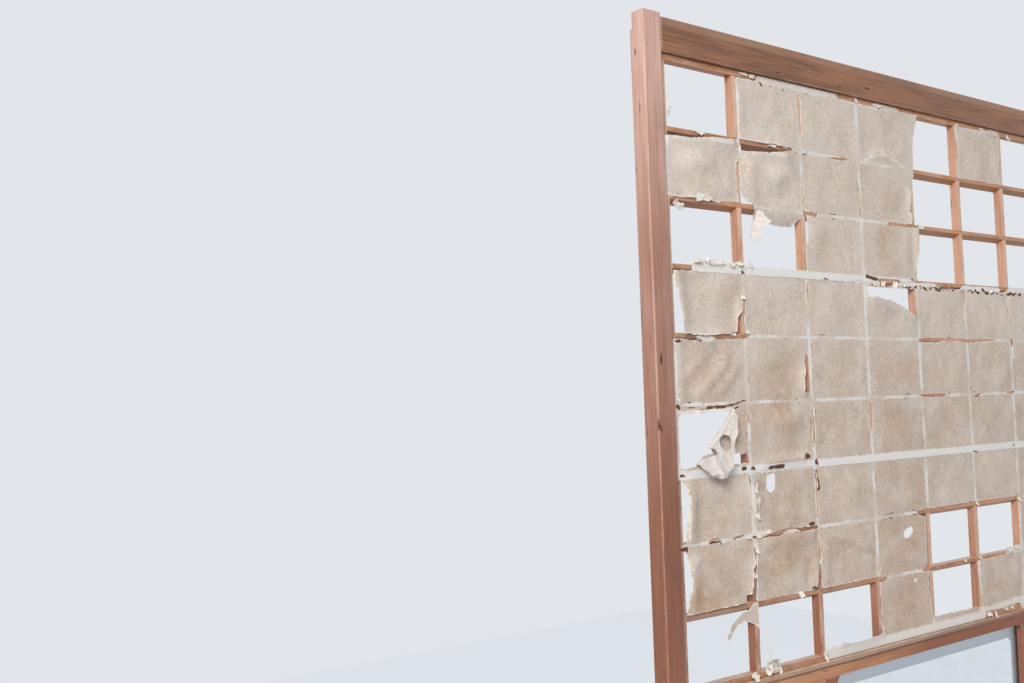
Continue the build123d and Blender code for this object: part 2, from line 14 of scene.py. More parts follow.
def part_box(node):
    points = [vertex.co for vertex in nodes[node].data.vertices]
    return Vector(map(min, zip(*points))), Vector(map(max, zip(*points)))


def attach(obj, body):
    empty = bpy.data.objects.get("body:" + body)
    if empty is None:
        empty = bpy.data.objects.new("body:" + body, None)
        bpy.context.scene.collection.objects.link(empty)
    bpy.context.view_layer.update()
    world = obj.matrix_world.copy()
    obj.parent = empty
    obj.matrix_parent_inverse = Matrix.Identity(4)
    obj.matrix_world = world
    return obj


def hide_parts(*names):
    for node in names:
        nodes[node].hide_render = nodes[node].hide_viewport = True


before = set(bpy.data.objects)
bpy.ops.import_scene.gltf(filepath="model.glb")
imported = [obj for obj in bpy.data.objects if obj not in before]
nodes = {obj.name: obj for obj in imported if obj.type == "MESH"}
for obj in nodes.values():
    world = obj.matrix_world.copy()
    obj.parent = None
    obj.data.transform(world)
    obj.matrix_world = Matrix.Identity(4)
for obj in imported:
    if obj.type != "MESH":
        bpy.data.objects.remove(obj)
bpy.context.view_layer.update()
bpy.ops.object.select_all(action="DESELECT")
scene = bpy.context.scene
scene.view_settings.view_transform = "Standard"
print("pieces in the frame:", len(nodes))

# %% [markdown]
# The camera stands left of the screen and a little below the middle of its lattice, and looks
# slightly up. It is placed and turned in three plain steps: round to the right, up, and a small
# roll, because the photograph was not held quite level.

# %% Camera
camera_place = Vector((-1.2194, -0.7840, 1.3675))
camera_turn = math.radians(-37.16)
camera_tilt = math.radians(3.19)
camera_roll = math.radians(-1.82)
lens_focal_length = 38.7
film_width = 36

bpy.ops.object.camera_add(location=camera_place)
camera = bpy.context.object
camera.name = "camera"
camera.data.lens = lens_focal_length
camera.data.sensor_width = film_width
camera.rotation_euler = (
    Matrix.Rotation(camera_turn, 3, "Z")
    @ Matrix.Rotation(math.pi / 2 + camera_tilt, 3, "X")
    @ Matrix.Rotation(camera_roll, 3, "Z")
).to_euler()
scene.camera = camera
print("camera", round(camera_place.length, 2), "m from the foot, lens", lens_focal_length, "mm")

# %% [markdown]
# Every finish here is made of shader nodes. A few short helpers write them: one turns a colour of
# 0 to 255 into the linear light that shaders use, and the others add nodes and return an output,
# so that a finish reads as a list of steps. A socket knows the tree it belongs to, so the tree has
# to be named only where a chain of nodes starts.

# %% Node helpers
def tint(red, green, blue):
    """A colour from its usual 0 to 255 values."""
    parts = []
    for part in (red, green, blue):
        share = part / 255
        parts.append(share / 12.92 if share <= 0.04045 else ((share + 0.055) / 1.055) ** 2.4)
    return (*parts, 1)


def feed(sockets, values):
    """Gives sockets, by name or number, the output of another node or a plain value."""
    for name, value in values.items():
        if isinstance(value, bpy.types.NodeSocket):
            value.id_data.links.new(value, sockets[name])
        else:
            sockets[name].default_value = value


def add_node(tree, kind, values, **settings):
    """Adds a node with its settings and the values of its sockets, and returns its outputs."""
    node = tree.nodes.new("ShaderNode" + kind)
    for name, value in settings.items():
        setattr(node, name, value)
    feed(node.inputs, values)
    return node.outputs


def compute(operation, first, second=0.0):
    known = first if isinstance(first, bpy.types.NodeSocket) else second
    return add_node(known.id_data, "Math", {0: first, 1: second}, operation=operation)["Value"]


def plus(first, second):
    return compute("ADD", first, second)


def minus(first, second):
    return compute("SUBTRACT", first, second)


def times(first, *others):
    for other in others:
        first = compute("MULTIPLY", first, other)
    return first


def larger(first, second=0.0):
    return compute("MAXIMUM", first, second)


def smaller(first, second):
    return compute("MINIMUM", first, second)


def distance(first, second):
    return compute("ABSOLUTE", minus(first, second))


def fade(value, low, high):
    """A soft step from 0 at the low value to 1 at the high one."""
    values = {"Value": value, "From Min": low, "From Max": high}
    return add_node(value.id_data, "MapRange", values, interpolation_type="SMOOTHSTEP")["Result"]


def blend_colours(share, first, second, blend="MIX"):
    values = {"Factor": share, 6: first, 7: second}
    return add_node(share.id_data, "Mix", values, data_type="RGBA", blend_type=blend)[2]


def part_along(vector, axis):
    """One coordinate of a vector."""
    return add_node(vector.id_data, "SeparateXYZ", {"Vector": vector})[axis]


def dot_product(first, second):
    return add_node(first.id_data, "VectorMath", {0: first, 1: second}, operation="DOT_PRODUCT")["Value"]


def new_material(name):
    """A material, the inputs of its shader and the socket for a place on the object."""
    material = bpy.data.materials.new(name)
    material.use_nodes = True
    tree = material.node_tree
    return material, tree.nodes["Principled BSDF"].inputs, add_node(tree, "TexCoord", {})["Object"]


print("middle grey as light:", round(tint(128, 128, 128)[0], 3))

# %% [markdown]
# Soft light from the left shapes the thin lattice: the left sides of the uprights are the
# brightest wood and the undersides of the bars the darkest. One square lamp gives it.

# %% Light
key_place = Vector((-3.7, -2.3, 3.2))
key_aim = Vector((0.0, 0.0, 1.35))
key_power = 190
key_size = 1.6
key_colour = (1.0, 0.97, 0.93)

bpy.ops.object.light_add(type="AREA", location=key_place)
key = bpy.context.object
key.name = "key_light"
key.data.energy = key_power
key.data.size = key_size
key.data.color = key_colour
key.rotation_euler = (key_aim - key_place).to_track_quat("-Z", "Y").to_euler()
print("key light:", key_power, "W from", round((key_aim - key_place).length, 2), "m")

# %% [markdown]
# The world gives an even pale fill that weakens towards the ground. The camera sees a plain pale
# background instead, also through the glass and in its gloss, so a mask from the light path
# chooses between the two.

# %% World
fill_above = 0.66
fill_below = 0.08
fill_colour = (0.93, 0.96, 1.0, 1)
fill_look_low = -0.5
fill_look_high = 0.6
background_colour = (0.76, 0.79, 0.83, 1)


def seen_directly(tree):
    """1 for what the camera sees, plain or by gloss and glass, and 0 for the other light."""
    path = add_node(tree, "LightPath", {})
    return larger(larger(path["Is Camera Ray"], path["Is Glossy Ray"]), path["Is Transmission Ray"])


world = bpy.data.worlds.new("pale studio")
scene.world = world
world.use_nodes = True
air = world.node_tree
air.nodes.clear()
fill_strength = add_node(air, "MapRange", {
    "Value": part_along(add_node(air, "TexCoord", {})["Generated"], "Z"),
    "From Min": fill_look_low, "From Max": fill_look_high, "To Min": fill_below, "To Max": fill_above,
})["Result"]
lighting = add_node(air, "Background", {"Color": fill_colour, "Strength": fill_strength})
shown = add_node(air, "Background", {"Color": background_colour})
choice = add_node(air, "MixShader", {
    "Fac": seen_directly(air), 1: lighting["Background"], 2: shown["Background"],
})
add_node(air, "OutputWorld", {"Surface": choice["Shader"]})
print("world nodes:", len(air.nodes))

# %% [markdown]
# The floor is a plain pale plane. For the camera it glows a little, so that it nearly joins the
# background, and it lights nothing by that glow.

# %% Floor
floor_size = 9
floor_colour = (0.55, 0.57, 0.60, 1)
floor_roughness = 0.9
floor_glow = 0.46

bpy.ops.mesh.primitive_plane_add(size=floor_size, location=(0, 0, 0))
floor = bpy.context.object
floor.name = "floor"
floor_paint, floor_shader = new_material("pale floor")[:2]
feed(floor_shader, {
    "Base Color": floor_colour, "Roughness": floor_roughness, "Emission Color": background_colour,
    "Emission Strength": times(seen_directly(floor_paint.node_tree), floor_glow),
})
floor.data.materials.append(floor_paint)
print("floor:", floor_size, "m square")

# %% [markdown]
# The lattice is laid out in cells, so every place on the paper is given as columns from the left
# and rows from the top, and one function turns it into metres. The sizes come from the boxes of the
# solids, so the paper follows the wood.

# %% Cells of the lattice
first_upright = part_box("upright_lattice_bar_1")
last_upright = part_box("upright_lattice_bar_7")
lattice_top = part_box("lattice_edging_top")[0].z
lattice_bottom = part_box("lattice_edging_bottom")[1].z
lattice_front = first_upright[0].y
columns = 8
rows = 9
upright_width = first_upright[1].x - first_upright[0].x
bar_height = 0.005
column_pitch = (last_upright[0].x - first_upright[0].x) / (columns - 2)
row_pitch = (lattice_top - lattice_bottom) / rows


def place(u, v, forward=0.0):
    """The point u columns and v rows into the lattice, and so far in front of it."""
    x = (u - columns / 2) * column_pitch
    return Vector((x, lattice_front - forward, lattice_top - v * row_pitch))


print("cells:", round(column_pitch, 4), "by", round(row_pitch, 4))

# %% [markdown]
# Age is uneven, so nearly every effect is broken up by soft noise. A kind of patch is written as
# five numbers: how many patches to a metre, the detail and roughness of the noise, and the two
# values between which the patch fades in. Stretching the place first draws the patches out.

# %% Patches of noise
def cloud(place_socket, scale, detail=3.0, rough=0.55):
    """Soft noise around one half, at a scale in patches a metre."""
    values = {"Vector": place_socket, "Scale": scale, "Detail": detail, "Roughness": rough}
    return add_node(place_socket.id_data, "TexNoise", values)["Fac"]


def patches(place_socket, kind):
    """A mask of patches from their scale, detail, roughness and the limits of their fade."""
    return fade(cloud(place_socket, *kind[:3]), *kind[3:])


def jitter(place_socket, scale, detail, rough, reach):
    """Noise around zero, over a reach."""
    return times(minus(cloud(place_socket, scale, detail, rough), 0.5), reach)


def stretched(place_socket, stretch, turn=0.0):
    """The place with its X scaled, so that patterns on it run along the grain."""
    values = {"Vector": place_socket, "Rotation": (0, turn, 0), "Scale": (stretch, 1, 1)}
    return add_node(place_socket.id_data, "Mapping", values)["Vector"]


def new_group(name, inputs, outputs):
    """An empty shader node group, with its sockets given by name and kind."""
    group = bpy.data.node_groups.new(name, "ShaderNodeTree")
    for direction, sockets in (("INPUT", inputs), ("OUTPUT", outputs)):
        for socket, kind in sockets.items():
            group.interface.new_socket(socket, in_out=direction, socket_type="NodeSocket" + kind)
    return group, group.nodes.new("NodeGroupInput").outputs, group.nodes.new("NodeGroupOutput").inputs


def use_group(group, **values):
    named = {name.replace("_", " "): value for name, value in values.items()}
    return add_node(values["Place"].id_data, "Group", named, node_tree=group)


print("noise can fade in as patches, for example of dust or dirt")

# %% [markdown]
# Old cedar shows three things at once: fine growth lines along the grain, broad lighter and darker
# streaks, and short dark nicks. All three are noise that is stretched along the grain, so one
# group makes them and each wood gives it its own pale and dark colour.

# %% Cedar grain group
line_stretch = 0.03
growth_lines = (560.0, 4.0, 0.55, 0.36, 0.66)
line_share = 0.6
line_height = 0.3
streak_stretch = 0.12
streaks = (60.0, 2.0, 0.55, 0.35, 0.68)
nick_stretch = 0.16
nicks = (190.0, 1.0, 0.55, 0.7, 0.77)

cedar_grain, given, out = new_group(
    "cedar grain",
    {"Place": "Vector", "Pale": "Color", "Dark": "Color", "Nick": "Color"},
    {"Color": "Color", "Height": "Float"},
)
line_mask = patches(stretched(given["Place"], line_stretch), growth_lines)
streak_mask = patches(stretched(given["Place"], streak_stretch), streaks)
nick_mask = patches(stretched(given["Place"], nick_stretch), nicks)
darkness = plus(times(line_mask, line_share), times(streak_mask, 1 - line_share))
grain_colour = blend_colours(darkness, given["Pale"], given["Dark"])
feed(out, {
    "Color": blend_colours(nick_mask, grain_colour, given["Nick"]),
    "Height": minus(times(line_mask, line_height), nick_mask),
})
print("nodes in the grain:", len(cedar_grain.nodes))

# %% [markdown]
# This frame's wood gets darker and redder towards its foot, and unevenly. How far down a point is
# comes in as a level, which each material works out from a slope in space, and the darker tone
# multiplies the colour that is there.

# %% Darker towards the foot
wander_scale = 5.0
wander_reach = 0.6
full_level = 0.75
towards_foot = (-0.35, 0.0, -1.25, 2.375)
towards_foot_and_left = (-0.8, 0.0, -1.25, 2.15)

foot_tone, given, out = new_group(
    "darker towards the foot",
    {"Color": "Color", "Place": "Vector", "Level": "Float", "Low tone": "Color", "Amount": "Float"},
    {"Color": "Color"},
)
wander = times(cloud(given["Place"], wander_scale), wander_reach)
lowness = fade(minus(given["Level"], wander), 0.0, full_level)
share = times(lowness, given["Amount"])
feed(out, {"Color": blend_colours(share, given["Color"], given["Low tone"], blend="MULTIPLY")})


def level_along(place_socket, fall):
    """A value that grows in space, from its slopes along X, Y and Z and its value at the origin."""
    return plus(dot_product(place_socket, fall[:3]), fall[3])


print("nodes in the foot tone:", len(foot_tone.nodes))

# %% [markdown]
# Four more effects each lay one tone over a colour, where all their masks are high. Soft grey dirt
# lies in grainy patches. Dust settles on faces that look up. Where paper has come away it leaves a
# thin film of paste and fibre on faces that look forward. The arrises are rubbed paler: a bevel
# node compares the true surface with one that has rounded edges, and where the two differ there
# is an edge. Every wood needs these in its own measure, so they are groups with an amount.

# %% Dirt, dust, film and wear groups
def new_effect(name, tone):
    """A group that is to lay one tone over a colour."""
    sockets = {"Color": "Color", "Place": "Vector", tone: "Color", "Amount": "Float"}
    return new_group(name, sockets, {"Color": "Color"})


def lay_tone(given, out, tone, *masks):
    """Ends an effect: the tone shows where all masks are high, as much as the amount says."""
    share = times(*masks, given["Amount"])
    feed(out, {"Color": blend_colours(share, given["Color"], given[tone])})


def looks_along(tree, axis, low, high):
    """A mask of the faces that look along an axis."""
    return fade(part_along(add_node(tree, "NewGeometry", {})["Normal"], axis), low, high)


dirt_patches = (9.0, 5.0, 0.7, 0.48, 0.72)
dirt_grains = (60.0, 4.0, 0.7, 0.3, 0.75)
soft_dirt, given, out = new_effect("soft dirt", "Dirt")
dirt_masks = [patches(given["Place"], kind) for kind in (dirt_patches, dirt_grains)]
lay_tone(given, out, "Dirt", *dirt_masks)

settled_dust = (85.0, 5.0, 0.7, 0.2, 0.65)
upward_limits = (0.35, 0.9)
dust, given, out = new_effect("dust on faces that look up", "Dust")
looks_up = looks_along(dust, "Z", *upward_limits)
lay_tone(given, out, "Dust", looks_up, patches(given["Place"], settled_dust))

film_stretch = 0.3
thick_film = (120.0, 5.0, 0.7, 0.3, 0.62)
forward_limits = (-0.5, -0.95)
paste_film, given, out = new_effect("film of old paste", "Film")
film_patches = patches(stretched(given["Place"], film_stretch), thick_film)
looks_forward = looks_along(paste_film, "Y", *forward_limits)
lay_tone(given, out, "Film", looks_forward, film_patches)

wear_radius = 0.0016
wear_samples = 4
wear_patches = (26.0, 5.0, 0.7, 0.38, 0.62)
edge_limits = (0.995, 0.9)
edge_wear, given, out = new_effect("worn edges", "Worn")
rounded = add_node(edge_wear, "Bevel", {"Radius": wear_radius}, samples=wear_samples)["Normal"]
agreement = dot_product(rounded, add_node(edge_wear, "NewGeometry", {})["Normal"])
near_edge = fade(agreement, *edge_limits)
lay_tone(given, out, "Worn", near_edge, patches(given["Place"], wear_patches))
print("groups:", len(bpy.data.node_groups))

# %% [markdown]
# Two rails have a paler band along the top of their front, with a dark line below it. The band is
# partly dust and partly painted light, as on a narrow ledge that faces up, and the line is a painted
# shadow below that ledge. Both waver a little along the rail and come and go in patches.

# %% Paler brow of a rail, with painted light and shadow
brow_stretch = 0.2
brow_waves = 30.0
brow_waver = 0.004
brow_patch_stretch = 0.4
brow_patches = (14.0, 4.0, 0.55, 0.25, 0.6)
brow_soft_edge = 0.003
shadow_below_brow = 0.002
shadow_line_limits = (0.0018, 0.0005)
# A painted shadow line below the band.
painted_shadow_tone = tint(74, 50, 38)


def brow_of_dust_light_and_shadow(place_socket, colour, top, brow_height, tone, share, shadow_line_darkness):
    """A paler band of dust and painted light along the top of a rail's front, and a painted shadow line
    below it.
    """
    waver = times(cloud(stretched(place_socket, brow_stretch), brow_waves), brow_waver)
    depth = plus(minus(top, part_along(place_socket, "Z")), waver)
    band = fade(depth, brow_height + brow_soft_edge, brow_height)
    kept = patches(stretched(place_socket, brow_patch_stretch), brow_patches)
    dusty_and_lit = blend_colours(times(band, kept, share), colour, tone)
    shadow_line = fade(distance(depth, brow_height + shadow_below_brow), *shadow_line_limits)
    return blend_colours(times(shadow_line, kept, shadow_line_darkness), dusty_and_lit, painted_shadow_tone)


print("brow waver:", brow_waver, "m")

# %% [markdown]
# The woods of the screen are one species with different lives. The frame is planed and handled,
# the lattice is paler and has its paste film, and the boards are quiet. Upright pieces have their
# grain turned to run along Z.

# %% Wood materials
upright_turn = math.pi / 2
low_wood_tone = tint(176, 139, 116)
dirt_tone = tint(96, 74, 62)
film_tone = tint(227, 199, 175)
worn_tone = tint(222, 182, 160)
dust_tone = tint(214, 196, 178)
wood_gloss_limits = (1.3, -1.2)
wood_bump = (0.0004, 0.6)


def add_bump(shader, height, depth, strength):
    """Small relief on a shader, from a height."""
    values = {"Distance": depth, "Strength": strength, "Height": height}
    feed(shader, {"Normal": add_node(height.id_data, "Bump", values)["Normal"]})


def make_wood(name, pale, dark, nick, upright, foot=0.5, dirt=0.4, film=0.0, wear=0.6, dusty=0.7,
              fall=towards_foot, dusty_lit_brow=None):
    """A cedar finish from its pale and dark colours and the measure of each effect."""
    wood, shader, own_place = new_material(name)
    grain_place = stretched(own_place, 1, upright_turn if upright else 0.0)
    grain = use_group(cedar_grain, Place=grain_place, Pale=pale, Dark=dark, Nick=nick)
    level = level_along(own_place, fall)
    colour = use_group(
        foot_tone, Color=grain["Color"], Place=own_place, Level=level, Low_tone=low_wood_tone, Amount=foot,
    )["Color"]
    if dusty_lit_brow is not None:
        colour = brow_of_dust_light_and_shadow(own_place, colour, *dusty_lit_brow)
    dirty = use_group(soft_dirt, Color=colour, Place=own_place, Dirt=dirt_tone, Amount=dirt)
    filmed = use_group(paste_film, Color=dirty["Color"], Place=grain_place, Film=film_tone, Amount=film)
    worn = use_group(edge_wear, Color=filmed["Color"], Place=own_place, Worn=worn_tone, Amount=wear)
    dusted = use_group(dust, Color=worn["Color"], Place=own_place, Dust=dust_tone, Amount=dusty)
    feed(shader, {"Base Color": dusted["Color"], "Roughness": fade(grain["Height"], *wood_gloss_limits)})
    add_bump(shader, grain["Height"], *wood_bump)
    return wood


stile_wood = make_wood(
    "stile_cedar", tint(208, 171, 157), tint(180, 139, 121), tint(84, 56, 46), True, foot=1.0,
)
rail_wood = make_wood(
    "rail_cedar", tint(156, 106, 74), tint(106, 68, 46), tint(66, 44, 34), False, foot=0.1,
    # Its brow is a band of dust and painted light over a faint painted shadow line.
    dusty_lit_brow=(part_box("top_rail")[1].z, 0.009, tint(170, 136, 112), 0.45, 0.1),
)
mid_rail_wood = make_wood(
    "mid_rail_cedar", tint(202, 144, 102), tint(164, 110, 74), tint(84, 58, 44), False,
    foot=0.9, fall=(3.0, 0.0, 0.0, 0.95),
    # Its brow is a band of dust and painted light over a dark painted shadow line.
    dusty_lit_brow=(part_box("mid_rail")[1].z, 0.0055, tint(170, 148, 130), 0.65, 0.85),
)
upright_wood = make_wood(
    "upright_cedar", tint(208, 162, 136), tint(174, 124, 98), tint(110, 72, 52), True,
    foot=0.85, dirt=0.3, film=0.6, wear=0.3, fall=towards_foot_and_left,
)
# The bars' cedar is darker and more orange than the uprights', as painted shade for their undersides.
bar_wood_with_painted_shade = make_wood(
    "bar_cedar_with_painted_shade", tint(192, 128, 80), tint(150, 92, 52), tint(90, 58, 38), False,
    foot=0.4, dirt=0.15, film=0.3, wear=0.3, fall=towards_foot_and_left,
)
board_tones = (tint(184, 138, 112), tint(140, 98, 76), tint(118, 82, 64))
board_wood = make_wood("board_cedar", *board_tones, False, foot=0.4)
side_board_wood = make_wood("side_board_cedar", *board_tones, True, foot=0.4)
print("materials so far:", len(bpy.data.materials))

# %% [markdown]
# Every solid of wood keeps its shape. It gets its cedar, and a hair of rounding on its edges from
# two modifiers: one merges the loose triangles of the solid, the other bevels its sharp edges, so
# that they catch the light as planed wood does. A piece takes the first wood whose key is part of
# its name.

# %% Finish the wooden solids
edge_round = 0.0004
sharp_angle = math.radians(30)
triangle_merge = 0.00001
wood_of_piece = {
    "mid_rail": mid_rail_wood,
    "stile": stile_wood,
    "rail": rail_wood,
    "upright_lattice_bar": upright_wood,
    "edging_left": upright_wood,
    "edging_right": upright_wood,
    "horizontal_lattice_bar": bar_wood_with_painted_shade,
    "edging_top": bar_wood_with_painted_shade,
    "edging_bottom": bar_wood_with_painted_shade,
    "bead": rail_wood,
    "lower_board": board_wood,
    "side_board": side_board_wood,
}
finished = 0
for name, node in nodes.items():
    woods = [wood for part, wood in wood_of_piece.items() if part in name]
    if woods:
        node.data.materials[0] = woods[0]
        merge = node.modifiers.new("merge", "WELD")
        merge.merge_threshold = triangle_merge
        soften = node.modifiers.new("soften", "BEVEL")
        soften.width = edge_round
        soften.segments = 1
        soften.limit_method = "ANGLE"
        soften.angle_limit = sharp_angle
        finished += 1
print("wooden pieces finished:", finished)

# %% [markdown]
# The window is clear in the middle with a frosted border and rounded corners. The border is a mask
# worked out from the distance to the edge of the pane: it makes the glass rough and a little
# darker there, and the glass itself stays the same.

# %% Glass
border_width = 0.0155
border_corner = 0.010
border_soft_edge = 0.0004
sight_lap = 0.005
glass_bending = 1.45
frost_roughness = 0.62
frost_tone = tint(206, 212, 217)
clean_tone = tint(246, 249, 250)
smear_tone = tint(236, 240, 241)
smears = (24.0, 5.0, 0.7, 0.4, 0.8)
pane_low, pane_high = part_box("glass_pane")
pane_centre = (pane_low + pane_high) / 2
clear_half_width = (pane_high.x - pane_low.x) / 2 - sight_lap - border_width
clear_half_height = (pane_high.z - pane_low.z) / 2 - sight_lap - border_width

glass, glass_shader, pane_place = new_material("window_glass")
from_middle = distance(part_along(pane_place, "X"), pane_centre.x)
from_mid_height = distance(part_along(pane_place, "Z"), pane_centre.z)
past_side = larger(minus(from_middle, clear_half_width - border_corner))
past_top = larger(minus(from_mid_height, clear_half_height - border_corner))
corner_run = compute("SQRT", plus(compute("POWER", past_side, 2.0), compute("POWER", past_top, 2.0)))
frosted = fade(corner_run, border_corner - border_soft_edge, border_corner + border_soft_edge)
clear_tone = blend_colours(patches(pane_place, smears), clean_tone, smear_tone)
feed(glass_shader, {
    "Transmission Weight": 1.0, "IOR": glass_bending, "Roughness": times(frosted, frost_roughness),
    "Base Color": blend_colours(frosted, clear_tone, frost_tone),
})
nodes["glass_pane"].data.materials[0] = glass
print("clear glass:", round(clear_half_width * 2, 3), "by", round(clear_half_height * 2, 3))

# %% [markdown]
# Old hand-laid paper is greige and fibrous, with dark flecks. Two scales of noise mottle it, and
# the same noise gives it its slight relief. Front, back and torn fibre share this group, each with
# its own tones.

# %% Paper fibre group
paper_roughness = 0.85
paper_sheen = 0.25
paper_bump = (0.0003, 0.5)
mottle_noise = (290.0, 3.0, 0.6)
fine_noise = (540.0, 2.0, 0.6)
mottle_share = 0.58
mottle_limits = (0.36, 0.64)
flecks = (95.0, 5.0, 0.75, 0.735, 0.775)

paper_fibre, given, out = new_group(
    "paper fibre", {"Place": "Vector", "Pale": "Color", "Dark": "Color", "Fleck": "Color"},
    {"Color": "Color", "Height": "Float"},
)
mottle = cloud(given["Place"], *mottle_noise)
fine = cloud(given["Place"], *fine_noise)
tone_share = fade(plus(times(mottle, mottle_share), times(fine, 1 - mottle_share)), *mottle_limits)
fibre_colour = blend_colours(tone_share, given["Pale"], given["Dark"])
feed(out, {
    "Color": blend_colours(patches(given["Place"], flecks), fibre_colour, given["Fleck"]),
    "Height": plus(mottle, fine),
})


def paper_surface(shader, colour, height):
    """Ends a paper finish: its colour, its dull surface and the relief of its fibre."""
    feed(shader, {"Base Color": colour, "Roughness": paper_roughness, "Specular IOR Level": paper_sheen})
    add_bump(shader, height, *paper_bump)


print("nodes in the fibre:", len(paper_fibre.nodes))

# %% [markdown]
# The front of the paper starts from its fibre and is a little darker at the foot. Browner and
# bleached patches lie over the whole sheet. Patches of painted light, and water stains with a few
# spots of painted shade among them, are read from attributes that each sheet carries, and noise
# makes their edges uneven.

# %% Front of the paper, aged tones and painted light
paper_fall = (0.0, 0.0, -3.3, 5.35)
low_paper_tone = tint(241, 235, 229)
browner_and_bleached = (
    ((13.0, 4.0, 0.6, 0.45, 0.72), 0.36, tint(188, 163, 142)),
    ((27.0, 5.0, 0.7, 0.42, 0.7), 0.6, tint(212, 204, 197)),
)
painted_light_and_stain_spots = (
    # Painted light: paler spots where the paper catches more light.
    ((45.0, 5.0, 0.7, 0.2, 0.6), "painted_light", tint(230, 220, 208)),
    ((60.0, 5.0, 0.75, 0.25, 0.7), "stain_and_shade", tint(164, 122, 84)),
)

paper_face, face_shader, face_place = new_material("aged_paper")


def mark_of(name):
    """What the sheet's attribute of this name says."""
    return add_node(paper_face.node_tree, "Attribute", {}, attribute_name=name)["Fac"]


face_fibre = use_group(
    paper_fibre, Place=face_place,
    Pale=tint(218, 206, 195), Dark=tint(195, 179, 165), Fleck=tint(128, 100, 78),
)
face_colour = use_group(
    foot_tone, Color=face_fibre["Color"], Place=face_place, Level=level_along(face_place, paper_fall),
    Low_tone=low_paper_tone, Amount=1.0,
)["Color"]
for kind, share, tone in browner_and_bleached:
    face_colour = blend_colours(times(patches(face_place, kind), share), face_colour, tone)
for kind, mark, tone in painted_light_and_stain_spots:
    face_colour = blend_colours(times(mark_of(mark), patches(face_place, kind)), face_colour, tone)
print("nodes so far:", len(paper_face.node_tree.nodes))

# %% [markdown]
# Where the paper is pasted over wood it is paler, because the paste sealed it, and palest where
# two sheets lap at a seam. These bands are worked out from the pitch of the lattice, and their
# edges are ragged. Where a sheet is marked as loose it has no pasted band.

# %% Front of the paper, pasted bands
seams = (3, 6)
ragged_noise = (230.0, 3.0, 0.55, 0.005)
foot_of_paste = 0.0015
head_of_paste = 0.0005
pasted_limits = (-0.0002, -0.0012)
kept_paste = (19.0, 5.0, 0.7, 0.38, 0.56)
foot_limits = (0.001, -0.001)
foot_share = 0.8
least_paste = 0.3
pasted_tone = tint(220, 217, 213)
seam_limits = (0.0049, 0.0039)
seam_tone = tint(224, 222, 219)


def lattice_distance(coordinate, origin, pitch, half_width):
    """How far a coordinate is past the edge of the nearest bar, negative on the bar."""
    shifted = compute("DIVIDE", minus(coordinate, origin), pitch)
    part = distance(shifted, compute("ROUND", shifted))
    return minus(times(part, pitch), half_width)


ragged = jitter(face_place, *ragged_noise)
face_height = part_along(face_place, "Z")
from_upright = lattice_distance(part_along(face_place, "X"), 0.0, column_pitch, upright_width / 2)
from_bar = lattice_distance(face_height, lattice_top, row_pitch, bar_height / 2)
from_foot = minus(face_height, lattice_bottom + foot_of_paste)
from_head = minus(lattice_top - head_of_paste, face_height)
from_bar = smaller(from_bar, smaller(from_foot, from_head))
from_wood = plus(smaller(from_upright, from_bar), ragged)
kept_white = larger(patches(face_place, kept_paste), times(fade(from_foot, *foot_limits), foot_share))
not_loose = minus(1.0, mark_of("loose"))
pasted_mask = times(fade(from_wood, *pasted_limits), larger(kept_white, least_paste), not_loose)
face_colour = blend_colours(pasted_mask, face_colour, pasted_tone)
from_seam = smaller(*[distance(face_height, place(0, seam).z) for seam in seams])
seam_mask = fade(plus(from_seam, ragged), *seam_limits)
face_colour = blend_colours(seam_mask, face_colour, seam_tone)
print("seams at", [round(place(0, seam).z, 3) for seam in seams], "m")

# %% [markdown]
# Last come the small marks. The paper has split along the edges of the bars, drawn as dark lines of
# painted shade in the splits. It shows bare wood at little holes, painted dark with the shade in
# them, is paler at some folds and lifted edges, partly by painted highlight, and has white fibre
# along its torn rims. The splits follow the lattice, and the holes, pale marks and rims are
# attributes with noise on their edges.

# %% Front of the paper, small marks
split_limits = (0.0006, 0.0002)
split_patches = (34.0, 3.0, 0.7, 0.59, 0.63)
# Splits show as dark lines: painted shade in the narrow gaps.
split_shade_tone = tint(84, 56, 42)
bare_noise = (260.0, 4.0, 0.7, 1.1)
bare_limits = (0.52, 0.6)
bare_mottle = 160.0
# The darkest bare tone is painted shade, for holes in the paper.
bare_wood_and_shade_tones = (tint(48, 32, 26), tint(136, 88, 62))
pale_noise = (170.0, 4.0, 0.7, 1.0)
pale_limits = (0.4, 0.7)
pale_share = 0.85
pale_and_highlight_tone = tint(224, 218, 210)
rim_noise = (140.0, 5.0, 0.75, 1.5)
rim_limits = (0.86, 1.02)
rim_tone = tint(228, 222, 213)


def uneven_mark(name, edge_noise, limits):
    """A mask from an attribute, with noise along its edge."""
    return fade(plus(mark_of(name), jitter(face_place, *edge_noise)), *limits)


near_wood_edge = fade(compute("ABSOLUTE", from_wood), *split_limits)
unsplit = larger(seam_mask, mark_of("loose"))
split_shade_mask = times(near_wood_edge, patches(face_place, split_patches), minus(1.0, unsplit))
face_colour = blend_colours(split_shade_mask, face_colour, split_shade_tone)
bare_wood_and_shade_tone = blend_colours(cloud(face_place, bare_mottle), *bare_wood_and_shade_tones)
face_colour = blend_colours(uneven_mark("bare_wood_and_shade", bare_noise, bare_limits), face_colour, bare_wood_and_shade_tone)
# Pale marks lie on crease ridges and lifted edges: partly pale paper, partly painted highlight.
pale_and_highlight_mask = times(uneven_mark("pale", pale_noise, pale_limits), pale_share)
face_colour = blend_colours(pale_and_highlight_mask, face_colour, pale_and_highlight_tone)
face_colour = blend_colours(uneven_mark("rim", rim_noise, rim_limits), face_colour, rim_tone)
paper_surface(face_shader, face_colour, face_fibre["Height"])
print("nodes on the front:", len(paper_face.node_tree.nodes))

# %% [markdown]
# The back of the paper is cleaner and greyer, with a little dirt. Torn fibre, for the flakes and
# the curl, is the palest.

